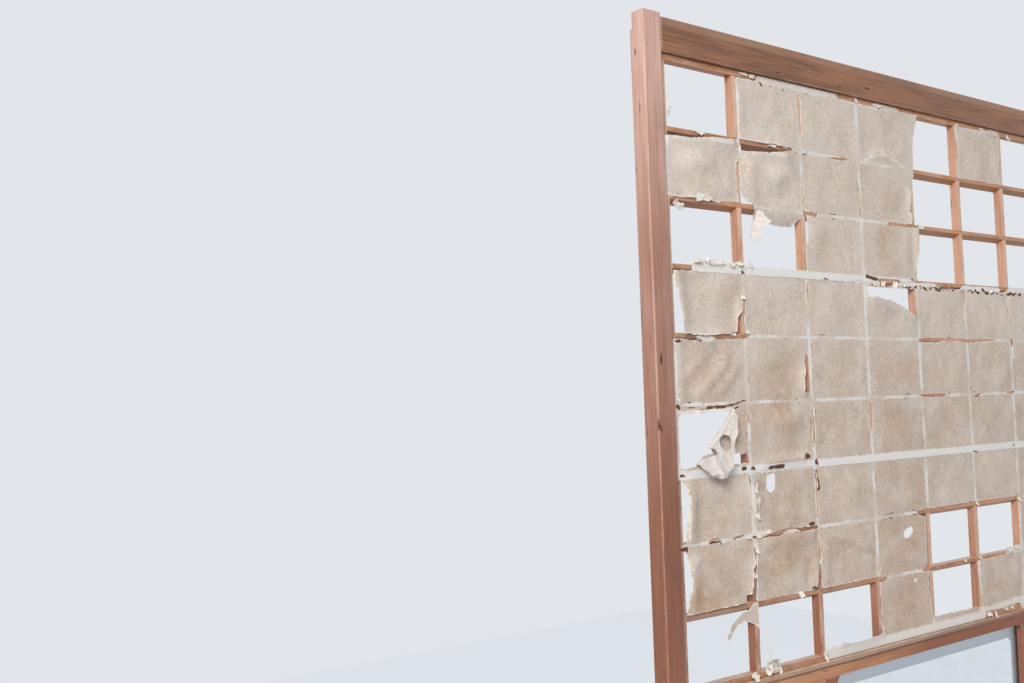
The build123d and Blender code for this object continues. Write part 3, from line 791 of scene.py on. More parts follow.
# %% Back of the paper and torn fibre
back_dirt_tone = tint(180, 158, 136)
back_dirt = 0.8

paper_back, back_shader, back_place = new_material("paper_back")
back_fibre = use_group(
    paper_fibre, Place=back_place,
    Pale=tint(217, 210, 205), Dark=tint(197, 188, 182), Fleck=tint(168, 142, 116),
)
soiled = use_group(
    soft_dirt, Color=back_fibre["Color"], Place=back_place, Dirt=back_dirt_tone, Amount=back_dirt,
)
paper_surface(back_shader, soiled["Color"], back_fibre["Height"])

torn_fibre, torn_shader, torn_place = new_material("torn_fibre")
loose_fibre = use_group(
    paper_fibre, Place=torn_place,
    Pale=tint(233, 227, 219), Dark=tint(206, 196, 185), Fleck=tint(176, 150, 124),
)
paper_surface(torn_shader, loose_fibre["Color"], loose_fibre["Height"])
print("materials:", len(bpy.data.materials))

# %% [markdown]
# Each sheet of paper starts as a copy of its solid. Only the front faces are kept, flattened and
# merged, so what is left is the torn outline as one surface. Cutting it along a close grid of
# planes gives it points that can then be moved, much as clay is, into bulges and wrinkles.

# %% Outline of a sheet
merge_distance = 0.00002
flat_normal = 0.999
flat_angle = math.radians(1)
layer_depth = 0.001


def select_only(piece):
    bpy.ops.object.select_all(action="DESELECT")
    piece.select_set(True)
    bpy.context.view_layer.objects.active = piece


def copy_of_node(node_name, name):
    """A copy of a solid with its own mesh, merged and ready to edit."""
    piece = bpy.data.objects.new(name, nodes[node_name].data.copy())
    scene.collection.objects.link(piece)
    select_only(piece)
    bpy.ops.mesh.customdata_custom_splitnormals_clear()
    bpy.ops.object.mode_set(mode="EDIT")
    bpy.ops.mesh.select_mode(type="FACE")
    bpy.ops.mesh.select_all(action="SELECT")
    bpy.ops.mesh.remove_doubles(threshold=merge_distance)
    bpy.ops.object.mode_set(mode="OBJECT")
    return piece


def keep_faces(piece, wanted):
    """Deletes the faces that a test on the face doesn't want."""
    for face in piece.data.polygons:
        face.select = not wanted(face)
    bpy.ops.object.mode_set(mode="EDIT")
    bpy.ops.mesh.select_mode(type="FACE")
    bpy.ops.mesh.delete(type="FACE")
    bpy.ops.object.mode_set(mode="OBJECT")


def lies_flat(face):
    return face.normal.y < -flat_normal and face.center.y > lattice_front - layer_depth


def flat_outline(node_name, name):
    """The torn outline of a sheet, as one flat surface on the front of the lattice."""
    piece = copy_of_node(node_name, name)
    keep_faces(piece, lies_flat)
    for point in piece.data.vertices:
        point.co.y = lattice_front
    bpy.ops.object.mode_set(mode="EDIT")
    bpy.ops.mesh.select_all(action="SELECT")
    bpy.ops.mesh.remove_doubles(threshold=merge_distance)
    bpy.ops.mesh.dissolve_limited(angle_limit=flat_angle)
    bpy.ops.object.mode_set(mode="OBJECT")
    return piece


def cut_grid(piece, spacing):
    """Cuts a piece along upright and level planes, and closes seams between its parts."""
    corners = np.array([point.co for point in piece.data.vertices])
    low = corners.min(axis=0)
    high = corners.max(axis=0)
    bpy.ops.object.mode_set(mode="EDIT")
    for axis, normal in ((0, (1, 0, 0)), (2, (0, 0, 1))):
        for step in range(1, int((high[axis] - low[axis]) / spacing) + 1):
            point = [0.0, 0.0, 0.0]
            point[axis] = low[axis] + step * spacing
            bpy.ops.mesh.select_all(action="SELECT")
            bpy.ops.mesh.bisect(plane_co=point, plane_no=normal)
    bpy.ops.mesh.select_all(action="SELECT")
    bpy.ops.mesh.remove_doubles(threshold=merge_distance)
    bpy.ops.mesh.select_all(action="DESELECT")
    bpy.ops.object.mode_set(mode="OBJECT")


def points_of(piece):
    points = np.empty(len(piece.data.vertices) * 3)
    piece.data.vertices.foreach_get("co", points)
    return points.reshape(-1, 3)


def move_points(piece, points):
    piece.data.vertices.foreach_set("co", points.ravel())
    piece.data.update()


print("paper lies on the front at", round(lattice_front, 4), "m")

# %% [markdown]
# Torn paper has a ragged edge, while a pasted border is straight. The border edges are divided and
# their points are pushed about in the plane of the sheet, but not where the sheet still ends on
# the frame. The push is a noise vector, which starts from the clock unless it is given a seed, and
# with one the paper tears the same way in each run.

# %% Torn edges
tear_cuts = 2
tear_roughness = 0.0011
tear_detail = 180.0
tear_seed = 1
border_margin = 0.0035
border_low = place(0, rows)
border_high = place(columns, 0)
noise.seed_set(tear_seed)


def border_points(piece):
    """The indices of the points on the open edges of a surface."""
    uses = {}
    for face in piece.data.polygons:
        for key in face.edge_keys:
            uses[key] = uses.get(key, 0) + 1
    return sorted({index for key, count in uses.items() if count == 1 for index in key})


def on_frame_border(point):
    beside = point[0] < border_low.x - border_margin or point[0] > border_high.x + border_margin
    below = point[2] < border_low.z - border_margin
    above = point[2] > border_high.z + border_margin
    return beside or below or above


def tear_edges(piece):
    """Divides the open edges, roughens the torn ones and returns their points."""
    bpy.ops.object.mode_set(mode="EDIT")
    bpy.ops.mesh.select_mode(type="EDGE")
    bpy.ops.mesh.select_all(action="DESELECT")
    bpy.ops.mesh.select_non_manifold(extend=False)
    bpy.ops.mesh.subdivide(number_cuts=tear_cuts)
    bpy.ops.mesh.select_mode(type="FACE")
    bpy.ops.object.mode_set(mode="OBJECT")
    points = points_of(piece)
    torn = [index for index in border_points(piece) if not on_frame_border(points[index])]
    for index in torn:
        push = noise.noise_vector(Vector(points[index]) * tear_detail)
        points[index][0] += push.x * tear_roughness
        points[index][2] += push.z * tear_roughness
    move_points(piece, points)
    return torn


print("paper on the frame starts", border_margin, "m past the cells")

# %% [markdown]
# Between the bars the paper is free: it has slackened into shallow bulges and fine wrinkles. Where
# it is pasted it lies on the wood. A weight that grows with the distance from the nearest bar or
# upright does both at once. Some torn edges also slide a little within the sheet, to where the
# photograph shows them.

# %% Relief of the paper
pasted_fade = 0.016
bulge_height = 0.0026
bulge_detail = 22.0
wrinkle_height = 0.0007
wrinkle_detail = 75.0
wrinkle_seed = 5
seed_steps = (3.7, 1.9)
shortest_line = 1e-12


def smooth(values):
    values = np.clip(values, 0, 1)
    return values * values * (3 - 2 * values)


def distance_from_wood(points):
    """How far each point is from the nearest upright, bar or edging, along the front."""
    u = points[:, 0] / column_pitch + columns / 2
    v = (lattice_top - points[:, 2]) / row_pitch
    past_upright = np.abs(u - np.round(u)) * column_pitch - upright_width / 2
    past_bar = np.abs(v - np.round(v)) * row_pitch - bar_height / 2
    return np.clip(np.minimum(past_upright, past_bar), 0, None)


def noise_at(points, detail, seed):
    shift = Vector((seed * seed_steps[0], seed * seed_steps[1], 0))
    return np.array([noise.noise(Vector((x, z, 0)) * detail + shift) for x, _, z in points])


def along_line(points, start, end):
    """Distance of each point from the line between two places in cells."""
    line_start = np.array(place(*start))[[0, 2]]
    run = np.array(place(*end))[[0, 2]] - line_start
    flat = points[:, [0, 2]] - line_start
    share = np.clip(flat @ run / max(run @ run, shortest_line), 0, 1)
    return np.linalg.norm(flat - share[:, None] * run, axis=1)


def lift_near(points, lifts):
    """How far lines between places raise the points near them."""
    forward = np.zeros(len(points))
    for start, end, reach, height in lifts:
        forward += height * np.clip(1 - along_line(points, start, end) / reach, 0, 1) ** 2
    return forward


def paper_relief(points, seed, lifts, creases):
    """How far each point stands in front of the lattice."""
    weight = smooth(distance_from_wood(points) / pasted_fade)
    forward = weight * bulge_height * noise_at(points, bulge_detail, seed)
    forward += weight * wrinkle_height * noise_at(points, wrinkle_detail, seed + wrinkle_seed)
    forward += lift_near(points, lifts)
    for start, end, width, height in creases:
        forward += height * weight * np.clip(1 - along_line(points, start, end) / width, 0, 1)
    return forward


def slide(points, slides):
    """Moves points within the sheet, near a line, by so much to the right and so much up."""
    for start, end, reach, right, up in slides:
        share = smooth(1 - along_line(points, start, end) / reach)
        points[:, 0] += right * share
        points[:, 2] += up * share


print("highest plain bulge:", bulge_height + wrinkle_height, "m")

# %% [markdown]
# A sheet carries marks for its finish to read, written on its points. The rim says how near a torn
# edge is. Stains, a few of them painted shade, and patches of painted light are round spots. Bare
# wood with painted shade in its holes, loose paper and pale marks that are partly painted highlight
# follow short lines. Small marks need small faces, so the mesh is divided near the bare ones.

# %% Marks on a sheet
rim_width = 0.006
refine_reach = 0.004
refine_cuts = 2
mark_peak = 1.2
mark_fall = 0.6


def mark_points(piece, name, values):
    marks = piece.data.attributes.new(name, "FLOAT", "POINT")
    marks.data.foreach_set("value", values)


def mark_rim(piece, torn):
    """Writes how near each point is to a torn edge, from 1 at the edge to 0."""
    points = points_of(piece)
    torn_points = KDTree(len(torn))
    for count, index in enumerate(torn):
        torn_points.insert(points[index], count)
    torn_points.balance()
    mark_points(piece, "rim", [max(0.0, 1 - torn_points.find(point)[2] / rim_width) for point in points])


def refine_near(piece, lines):
    """Divides the faces near some lines between places, so that small marks stay sharp."""
    centres = np.array([face.center for face in piece.data.polygons])
    near = np.zeros(len(centres), dtype=bool)
    for start, end, radius in lines:
        near |= along_line(centres, start, end) < refine_reach + radius
    piece.data.polygons.foreach_set("select", near)
    bpy.ops.object.mode_set(mode="EDIT")
    bpy.ops.mesh.subdivide(number_cuts=refine_cuts)
    bpy.ops.object.mode_set(mode="OBJECT")


def mark_lines(piece, name, lines):
    """Writes a mark that fades out to each side of some lines between places."""
    points = points_of(piece)
    mark = np.zeros(len(points))
    for start, end, radius in lines:
        away = along_line(points, start, end) / radius
        mark = np.maximum(mark, np.clip(mark_peak - mark_fall * away, 0, 1))
    mark_points(piece, name, mark)


def mark_spots(piece, name, spots):
    """Writes a mark that fades out around spots, each given by place, radius and strength."""
    points = points_of(piece)
    mark = np.zeros(len(points))
    for spot, radius, strength in spots:
        mark = np.maximum(mark, strength * smooth(1 - along_line(points, spot, spot) / radius))
    mark_points(piece, name, mark)


print("rims reach", rim_width, "m into the paper")

# %% [markdown]
# Now a sheet can be made in one go: its outline, its grid, its torn edges, its relief and its
# marks. A sheet that laps over the one below is one layer further forward near that seam. At the
# end the surface gets its real thickness, with the cleaner finish on its back.

# %% Making a sheet
paper_thickness = 0.0003
grid_spacing = 0.0045
sheet_gap = 0.00018
seam_layer = 0.0005
seam_half = 0.0105
seam_step = 0.002
smooth_angle = math.radians(50)


def give_finishes(piece, *finishes):
    piece.data.materials.clear()
    for finish in finishes:
        piece.data.materials.append(finish)


def give_thickness(piece, thickness, offset, back_slot):
    """Solidifies a surface. Its far side takes the finish that many slots further on."""
    select_only(piece)
    wall = piece.modifiers.new("thickness", "SOLIDIFY")
    wall.thickness = thickness
    wall.offset = offset
    wall.material_offset = back_slot
    bpy.ops.object.modifier_apply(modifier="thickness")


def stand_for(piece, node_name):
    """Smooths a finished piece of paper and puts it in the place of its solid."""
    select_only(piece)
    bpy.ops.object.shade_smooth_by_angle(angle=smooth_angle)
    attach(piece, "root")
    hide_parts(node_name)
    print(piece.name, len(piece.data.polygons), "faces")


def make_sheet(node_name, name, seed, seam=None, lifts=(), creases=(), slides=(),
               stains_and_shade=(), painted_light=(), bare_wood_and_shade=(), loose=(), pale=()):
    """A sheet of old paper on the outline of its solid, lapped over a lower sheet at its seam."""
    piece = flat_outline(node_name, name)
    cut_grid(piece, grid_spacing)
    refine_near(piece, bare_wood_and_shade)
    torn = tear_edges(piece)
    points = points_of(piece)
    slide(points, slides)
    forward = paper_relief(points, seed, lifts, creases)
    if seam is not None:
        above = points[:, 2] - place(0, seam).z - seam_half
        forward += seam_layer * smooth(1 - above / seam_step)
    points[:, 1] = lattice_front - sheet_gap - forward
    move_points(piece, points)
    mark_rim(piece, torn)
    for mark, spots in (("stain_and_shade", stains_and_shade), ("painted_light", painted_light)):
        mark_spots(piece, mark, spots)
    for mark, lines in (("bare_wood_and_shade", bare_wood_and_shade), ("loose", loose), ("pale", pale)):
        mark_lines(piece, mark, lines)
    give_finishes(piece, paper_face, paper_back)
    give_thickness(piece, paper_thickness, 0.0, 1)
    stand_for(piece, node_name)


print("grid of", grid_spacing, "m")

# %% [markdown]
# The sheets differ in where they have come loose, so each is a list of places in cells. A lift
# raises an edge along a line, over a reach and to a height in metres. A crease is a narrow ridge
# along a line, with its width and height. A slide moves an edge by so much to the right and up.
# The upper sheet has lost its right half and hangs loose in its two left columns.

# %% Upper sheet
make_sheet(
    "paper_strip_upper", "upper_paper_sheet", 1, seam=3,
    lifts=(
        ((1.07, 0.3), (1.1, 0.9), 0.012, 0.0012), ((0.1, 1.12), (0.9, 1.06), 0.022, 0.006),
        ((0.3, 1.45), (0.6, 1.4), 0.03, 0.004), ((1.15, 1.17), (1.7, 1.12), 0.03, 0.006),
        ((1.2, 1.5), (1.7, 1.4), 0.045, 0.0018), ((1.15, 1.4), (1.2, 1.9), 0.02, 0.002),
        ((1.3, 2.25), (1.95, 2.25), 0.02, -0.006), ((0.3, 1.98), (0.6, 1.95), 0.012, 0.003),
        ((3.95, 1.4), (3.95, 1.9), 0.01, 0.003), ((4.06, 2.1), (4.05, 2.7), 0.01, 0.003),
    ),
    creases=(
        ((0.35, 1.3), (0.75, 1.9), 0.02, 0.003), ((1.25, 1.75), (1.8, 1.45), 0.02, 0.0025),
        ((1.2, 1.4), (1.6, 1.5), 0.012, 0.002), ((1.15, 2.0), (1.95, 2.05), 0.008, 0.002),
        ((3.12, 0.96), (3.28, 0.84), 0.006, 0.003), ((3.28, 0.84), (3.5, 0.79), 0.006, 0.003),
        ((3.5, 0.79), (3.7, 0.84), 0.006, 0.003), ((3.7, 0.84), (3.84, 0.94), 0.006, 0.003),
    ),
    slides=(
        ((2.04, 0.1), (2.04, 0.7), 0.012, -0.0038, 0.0), ((1.07, 0.1), (1.08, 0.9), 0.014, -0.004, 0.0),
        ((1.06, 1.2), (1.1, 1.7), 0.022, -0.0065, 0.0), ((1.16, 1.78), (1.24, 1.98), 0.018, -0.007, 0.0),
        ((2.08, 1.4), (2.08, 1.92), 0.012, -0.0055, 0.0),
    ),
    loose=(
        ((4.0, 0.0), (4.0, 3.0), 0.03), ((1.0, 1.0), (1.0, 1.3), 0.01), ((2.9, 1.0), (2.9, 1.0), 0.01),
    ),
    # Pale marks on crease ridges and lifted edges are partly painted highlight.
    pale=(
        ((3.12, 0.96), (3.28, 0.86), 0.0018), ((3.28, 0.86), (3.5, 0.82), 0.0018),
        ((3.5, 0.82), (3.7, 0.87), 0.0018), ((3.7, 0.87), (3.84, 0.96), 0.0018),
        ((0.2, 2.95), (1.1, 2.95), 0.004), ((0.1, 1.13), (0.9, 1.07), 0.002),
        ((1.15, 1.18), (1.7, 1.13), 0.002),
    ),
    bare_wood_and_shade=(
        ((1.4, 0.02), (1.42, 0.05), 0.0014), ((1.75, 0.05), (1.76, 0.06), 0.0009),
        ((3.47, 0.1), (3.48, 0.15), 0.0006), ((3.9, 2.95), (3.95, 2.96), 0.001),
        ((3.05, 2.95), (3.25, 3.0), 0.002), ((2.3, 3.05), (2.35, 3.06), 0.0015),
        ((1.0, 3.02), (1.02, 3.06), 0.002),
    ),
    stains_and_shade=(
        ((1.3, 1.7), 0.03, 0.25), ((0.5, 1.75), 0.03, 0.3), ((3.2, 0.5), 0.04, 0.15),
        ((2.3, 2.6), 0.04, 0.2), ((3.5, 1.5), 0.07, 0.25), ((3.5, 2.5), 0.07, 0.42),
        ((2.5, 1.6), 0.06, 0.14),
    ),
    # Spots of painted light, where the bulging cells catch the light.
    painted_light=(((0.45, 1.5), 0.055, 0.5), ((1.5, 1.5), 0.055, 0.65)),
)

# %% [markdown]
# Right of the upper sheet the seam has torn into a row of small holes, painted as dark spots of bare
# wood and shade. They follow one spacing, but their place and size waver by noise that is the same
# in each run.

# %% Holes below the upper seam
hole_spacing = 0.11
first_hole = 3.08
hole_count = 30
waver_steps = (1.37, 2.11)
waver_start = (0.3, 0.7, 0.5)


def wavering(index, row, low, high):
    """A value between two others that differs from hole to hole, and is the same in each run."""
    across = index * waver_steps[0] + waver_start[0]
    down = row * waver_steps[1] + waver_start[1]
    return low + (high - low) * (0.5 + noise.noise(Vector((across, down, waver_start[2]))))


def hole_column(holes):
    """The column that lies so many holes along the torn seam."""
    return first_hole + holes * hole_spacing


seam_holes = tuple(
    (
        (hole_column(index + wavering(index, 1, -0.3, 0.3)), wavering(index, 2, 3.06, 3.13)),
        (hole_column(index + wavering(index, 3, 0.1, 1.0)), wavering(index, 4, 3.06, 3.13)),
        wavering(index, 5, 0.0004, 0.0022),
    )
    for index in range(hole_count)
)
print("holes below the upper seam:", len(seam_holes))

# %% [markdown]
# The middle sheet is the most complete. Its left column has come loose, and below its fourth row
# the corner has folded down, which is modelled later.

# %% Middle sheet
make_sheet(
    "paper_strip_middle", "middle_paper_sheet", 2, seam=6,
    lifts=(
        ((0.08, 3.1), (0.12, 3.95), 0.02, 0.005), ((0.95, 3.5), (0.92, 3.9), 0.014, 0.004),
        ((0.2, 3.98), (0.8, 3.96), 0.012, 0.003), ((0.3, 4.08), (0.5, 4.1), 0.014, 0.003),
        ((0.05, 4.1), (0.08, 4.9), 0.012, 0.002), ((3.1, 3.3), (3.9, 3.6), 0.02, 0.004),
        ((1.88, 4.5), (1.88, 4.85), 0.01, 0.004), ((0.3, 5.12), (0.75, 5.1), 0.01, 0.003),
        ((0.7, 5.72), (0.9, 5.75), 0.012, 0.003), ((1.2, 5.92), (1.8, 5.9), 0.012, 0.003),
        ((2.05, 5.2), (2.05, 5.6), 0.01, 0.003),
    ),
    creases=(
        ((0.3, 4.9), (0.7, 4.4), 0.01, 0.0035), ((0.5, 4.95), (0.85, 4.5), 0.008, 0.003),
        ((0.15, 4.6), (0.4, 4.3), 0.008, 0.002), ((1.3, 5.2), (1.7, 5.3), 0.02, 0.003),
    ),
    bare_wood_and_shade=seam_holes + (
        ((0.42, 5.055), (0.66, 5.05), 0.0016), ((0.3, 5.085), (0.8, 5.02), 0.0008),
        ((0.8, 5.02), (0.98, 4.96), 0.0008), ((0.04, 6.03), (0.06, 6.03), 0.003),
        ((0.88, 5.98), (0.92, 5.98), 0.002), ((1.03, 6.0), (1.05, 6.07), 0.0028),
        ((1.28, 6.02), (1.48, 6.0), 0.0028), ((2.02, 5.98), (2.03, 6.08), 0.0025),
        ((1.86, 5.88), (1.9, 5.87), 0.0028), ((0.03, 4.08), (0.06, 4.08), 0.002),
        ((0.02, 5.02), (0.04, 5.04), 0.002), ((5.12, 5.03), (5.19, 5.03), 0.0011),
        ((5.5, 5.03), (5.51, 5.04), 0.0009), ((5.3, 5.1), (5.31, 5.13), 0.0006),
        ((5.0, 6.05), (5.1, 6.06), 0.0009), ((5.93, 5.98), (5.94, 6.02), 0.001),
    ),
    slides=(
        ((1.08, 3.3), (1.09, 3.8), 0.014, -0.007, 0.0), ((2.07, 5.15), (2.08, 5.6), 0.012, -0.0062, 0.0),
        ((0.07, 5.2), (0.065, 5.85), 0.007, -0.0042, 0.0),
        ((0.09, 3.15), (0.14, 3.95), 0.018, -0.0045, 0.0),
        ((0.93, 3.75), (0.9, 3.95), 0.016, -0.004, 0.0),
    ),
    # Pale marks on lifted edges are partly painted highlight.
    pale=(((0.3, 4.02), (0.5, 4.02), 0.003), ((0.05, 5.12), (0.8, 5.1), 0.002)),
    stains_and_shade=(
        ((1.5, 5.1), 0.03, 0.7), ((1.55, 5.32), 0.016, 0.5), ((1.35, 5.2), 0.02, 0.4),
        ((3.85, 5.3), 0.02, 0.45), ((3.9, 5.7), 0.025, 0.4), ((2.95, 5.6), 0.02, 0.3),
        ((0.2, 5.05), 0.02, 0.3), ((1.5, 4.5), 0.07, 0.35), ((0.5, 4.5), 0.06, 0.28),
        ((3.5, 4.5), 0.06, 0.15), ((3.5, 5.5), 0.07, 0.36),
    ),
    # Spots of painted light.
    painted_light=(
        ((5.5, 3.5), 0.08, 0.35), ((6.5, 3.5), 0.08, 0.35), ((4.5, 3.5), 0.07, 0.25),
        ((4.6, 4.5), 0.07, 0.2),
    ),
)

# %% [markdown]
# The lower sheet has split between its left columns and along its second bar, is stained brown
# there, and has two long creases in its third column.

# %% Lower sheet
make_sheet(
    "paper_strip_lower", "lower_paper_sheet", 3,
    lifts=(
        ((0.13, 6.2), (0.13, 6.9), 0.018, 0.005), ((0.12, 7.3), (0.1, 7.9), 0.02, 0.005),
        ((1.0, 6.2), (1.03, 6.6), 0.012, 0.004), ((0.98, 7.4), (0.95, 7.8), 0.014, 0.004),
        ((1.1, 7.3), (1.1, 7.9), 0.014, 0.001), ((1.2, 7.12), (1.9, 7.04), 0.016, 0.004),
        ((1.95, 7.5), (1.92, 7.9), 0.012, 0.003), ((0.2, 7.95), (0.8, 7.95), 0.012, 0.003),
        ((2.1, 7.3), (2.1, 7.9), 0.012, 0.003), ((2.3, 8.88), (3.0, 8.87), 0.012, 0.003),
    ),
    creases=(
        ((2.05, 6.05), (2.97, 6.95), 0.008, 0.005), ((2.03, 7.05), (2.97, 7.5), 0.008, 0.005),
        ((0.2, 7.2), (0.7, 7.8), 0.014, 0.003), ((0.4, 7.15), (0.9, 7.5), 0.012, 0.0025),
        ((0.3, 6.3), (0.8, 6.8), 0.016, 0.0025),
    ),
    slides=(
        ((1.13, 6.05), (1.13, 6.85), 0.0095, -0.0085, 0.0),
        ((1.02, 6.45), (1.02, 6.75), 0.012, 0.004, 0.0),
        ((1.1, 7.15), (1.1, 7.9), 0.014, -0.0078, 0.0), ((0.97, 7.5), (0.94, 7.85), 0.013, -0.004, 0.0),
        ((0.13, 6.15), (0.13, 6.9), 0.02, -0.0058, 0.0), ((0.12, 7.3), (0.08, 7.95), 0.02, -0.005, 0.0),
        ((2.06, 6.1), (2.06, 6.85), 0.010, -0.0045, 0.0), ((2.1, 7.15), (2.1, 7.9), 0.016, -0.0078, 0.0),
        ((1.1, 7.12), (1.6, 7.06), 0.012, 0.0, 0.004),
    ),
    # Pale marks on lifted edges and rims are partly painted highlight.
    pale=(
        ((0.2, 8.96), (0.9, 8.96), 0.005), ((2.05, 8.95), (3.0, 8.9), 0.005),
        ((5.0, 8.97), (6.0, 8.92), 0.005), ((3.0, 9.0), (5.2, 9.0), 0.004),
        ((5.75, 7.94), (6.0, 7.94), 0.003), ((1.02, 6.3), (1.02, 6.9), 0.003),
        ((0.95, 6.97), (1.25, 6.95), 0.002), ((0.095, 6.3), (0.08, 6.9), 0.0012),
        ((0.05, 7.1), (0.08, 7.6), 0.0012),
    ),
    bare_wood_and_shade=(
        ((2.01, 6.12), (2.03, 6.4), 0.0022), ((0.97, 7.52), (0.98, 7.56), 0.0015),
        ((1.0, 6.99), (1.02, 7.01), 0.002), ((1.86, 6.94), (1.92, 6.93), 0.0018),
        ((1.88, 7.93), (1.9, 7.94), 0.002), ((0.02, 7.06), (0.05, 7.05), 0.003),
        ((0.38, 7.0), (0.52, 6.99), 0.0014), ((0.72, 6.99), (0.78, 6.97), 0.0012),
    ),
    stains_and_shade=(
        ((1.45, 7.38), 0.024, 1.0), ((1.3, 7.55), 0.02, 0.6), ((1.6, 7.28), 0.03, 0.5),
        ((0.2, 7.8), 0.045, 0.7), ((1.85, 7.5), 0.03, 0.5), ((0.45, 7.9), 0.03, 0.5),
        ((1.6, 6.6), 0.03, 0.4), ((0.4, 7.3), 0.03, 0.4), ((0.6, 7.55), 0.03, 0.3),
        ((1.55, 6.85), 0.03, 0.5), ((1.35, 6.8), 0.02, 0.4), ((3.6, 7.5), 0.03, 0.5),
        ((3.3, 7.2), 0.03, 0.35), ((0.5, 6.7), 0.03, 0.25), ((3.5, 6.5), 0.07, 0.28),
        ((3.5, 7.6), 0.06, 0.25), ((3.5, 8.5), 0.07, 0.42), ((1.5, 6.6), 0.06, 0.18),
        # These two spots are painted shade beside the lifted edge at the first upright.
        ((1.13, 6.25), 0.012, 1.0), ((1.14, 6.5), 0.012, 0.8),
    ),
    # Spots of painted light.
    painted_light=(
        ((5.6, 6.5), 0.08, 0.35), ((4.5, 6.5), 0.07, 0.2), ((0.6, 6.6), 0.055, 0.3),
        ((2.5, 6.5), 0.06, 0.2),
    ),
)

# %% [markdown]
# Three small pieces are left: a scrap at the top, one at the right and a loose strip that hangs
# below the lower sheet.

# %% Scraps and the hanging strip
make_sheet(
    "paper_scrap_top", "paper_scrap_at_top", 4, slides=(((5.07, 0.0), (5.07, 0.95), 0.018, -0.006, 0.0),),
)
make_sheet("paper_scrap_right", "paper_scrap_at_right", 5, seam=3)
make_sheet(
    "hanging_paper_strip", "hanging_strip_of_paper", 6,
    loose=(((0.5, 8.0), (1.1, 8.6), 0.2),), slides=(((0.62, 8.3), (0.6, 8.5), 0.012, -0.0012, 0.0),),
)

# %% [markdown]
# Where the paper has folded over, its clean back shows. The folded corner, the tongue on the
# first upright and the curl on the edging are cut out of copies of their solids, which already
# turn over at the fold. Cut finely, they are crumpled forwards, more the further they are from
# the fold, whose crest is a line between two places.

# %% Folded parts
fold_spacing = 0.0028
crest_reach = 0.02
crumple_height = 0.0022
crumple_detail = 60.0
fine_crumple = 0.0007
fine_crumple_detail = 190.0
fine_crumple_seed = 3
fold_roughness = 0.0024
fold_detail = 110.0
sideways_seed = 7
upward_seed = 9
turning_normal = 0.05


def stands_out(face):
    """Faces of the folded paper, but not of the flat sheet and its seams."""
    in_front = face.center.y < lattice_front - layer_depth
    turning = turning_normal < abs(face.normal.y) < flat_normal and face.center.y < lattice_front
    return in_front or turning


def any_face(face):
    return True


def make_fold(node_name, name, crest, seed, wanted=stands_out, finish=paper_back, lifts=(), slides=()):
    """Paper that stands out from the lattice, crumpled away from its crest."""
    piece = copy_of_node(node_name, name)
    keep_faces(piece, wanted)
    cut_grid(piece, fold_spacing)
    points = points_of(piece)
    away = smooth(along_line(points, *crest) / crest_reach)
    forward = crumple_height * away * (0.5 + noise_at(points, crumple_detail, seed))
    finer = noise_at(points, fine_crumple_detail, seed + fine_crumple_seed)
    forward += fine_crumple * away * (0.5 + finer)
    forward += lift_near(points, lifts)
    points[:, 1] -= forward
    slide(points, slides)
    points[:, 0] += fold_roughness * away * noise_at(points, fold_detail, seed + sideways_seed)
    points[:, 2] += fold_roughness * away * noise_at(points, fold_detail, seed + upward_seed)
    move_points(piece, points)
    give_finishes(piece, finish)
    stand_for(piece, node_name)


make_fold(
    "paper_strip_middle", "folded_paper_corner", ((0.26, 5.885), (0.78, 5.12)), 11,
    lifts=(
        ((0.2, 5.93), (0.5, 6.06), 0.010, 0.006),
        ((0.42, 5.72), (0.46, 6.02), 0.006, 0.0022),
        ((0.75, 5.25), (0.62, 5.5), 0.005, 0.0012),
    ),
    slides=(
        ((0.86, 5.15), (0.8, 5.6), 0.02, -0.005, 0.0), ((0.2, 5.93), (0.3, 6.0), 0.014, -0.004, 0.0),
    ),
)
make_fold(
    "paper_strip_upper", "folded_paper_tongue", ((1.16, 2.44), (1.27, 2.06)), 12,
    lifts=(((1.3, 2.1), (1.38, 2.28), 0.012, 0.004),),
    slides=(
        ((1.42, 2.12), (1.36, 2.4), 0.024, -0.010, 0.0), ((1.21, 2.46), (1.21, 2.46), 0.009, 0.0, -0.007),
    ),
)
make_fold(
    "paper_curl_on_edging", "paper_curl", ((1.1, 9.0), (1.3, 9.0)), 13, wanted=any_face, finish=torn_fibre,
)

# %% [markdown]
# Scraps and flakes of paper are left all over the lattice: slivers on the bars, tufts above the
# seam and small curls on the edging. One flake is modelled from a circle, inset twice and poked,
# and each of the others is a copy with its own rim, size, turn and curl, on the wood it sits on.

# %% One flake
flake_sides = 20
flake_insets = (0.16, 0.14)
flake_roughness = 0.6
flake_rim = 0.4
flake_detail = 3.1
fine_flake_detail = 9.0
fine_flake_seed = 2
curl_detail = 2.2
curl_seed = 4
flake_lift = 0.00025

bpy.ops.object.select_all(action="DESELECT")
bpy.ops.mesh.primitive_circle_add(
    vertices=flake_sides, radius=0.5, fill_type="NGON", rotation=(math.pi / 2, 0, 0),
)
flake = bpy.context.object
bpy.ops.object.transform_apply(location=True, rotation=True, scale=True)
bpy.ops.object.mode_set(mode="EDIT")
bpy.ops.mesh.select_all(action="SELECT")
for flake_inset in flake_insets:
    bpy.ops.mesh.inset(thickness=flake_inset)
bpy.ops.mesh.poke()
bpy.ops.object.mode_set(mode="OBJECT")
flake_shape = points_of(flake)
print("one flake:", len(flake.data.polygons), "faces")


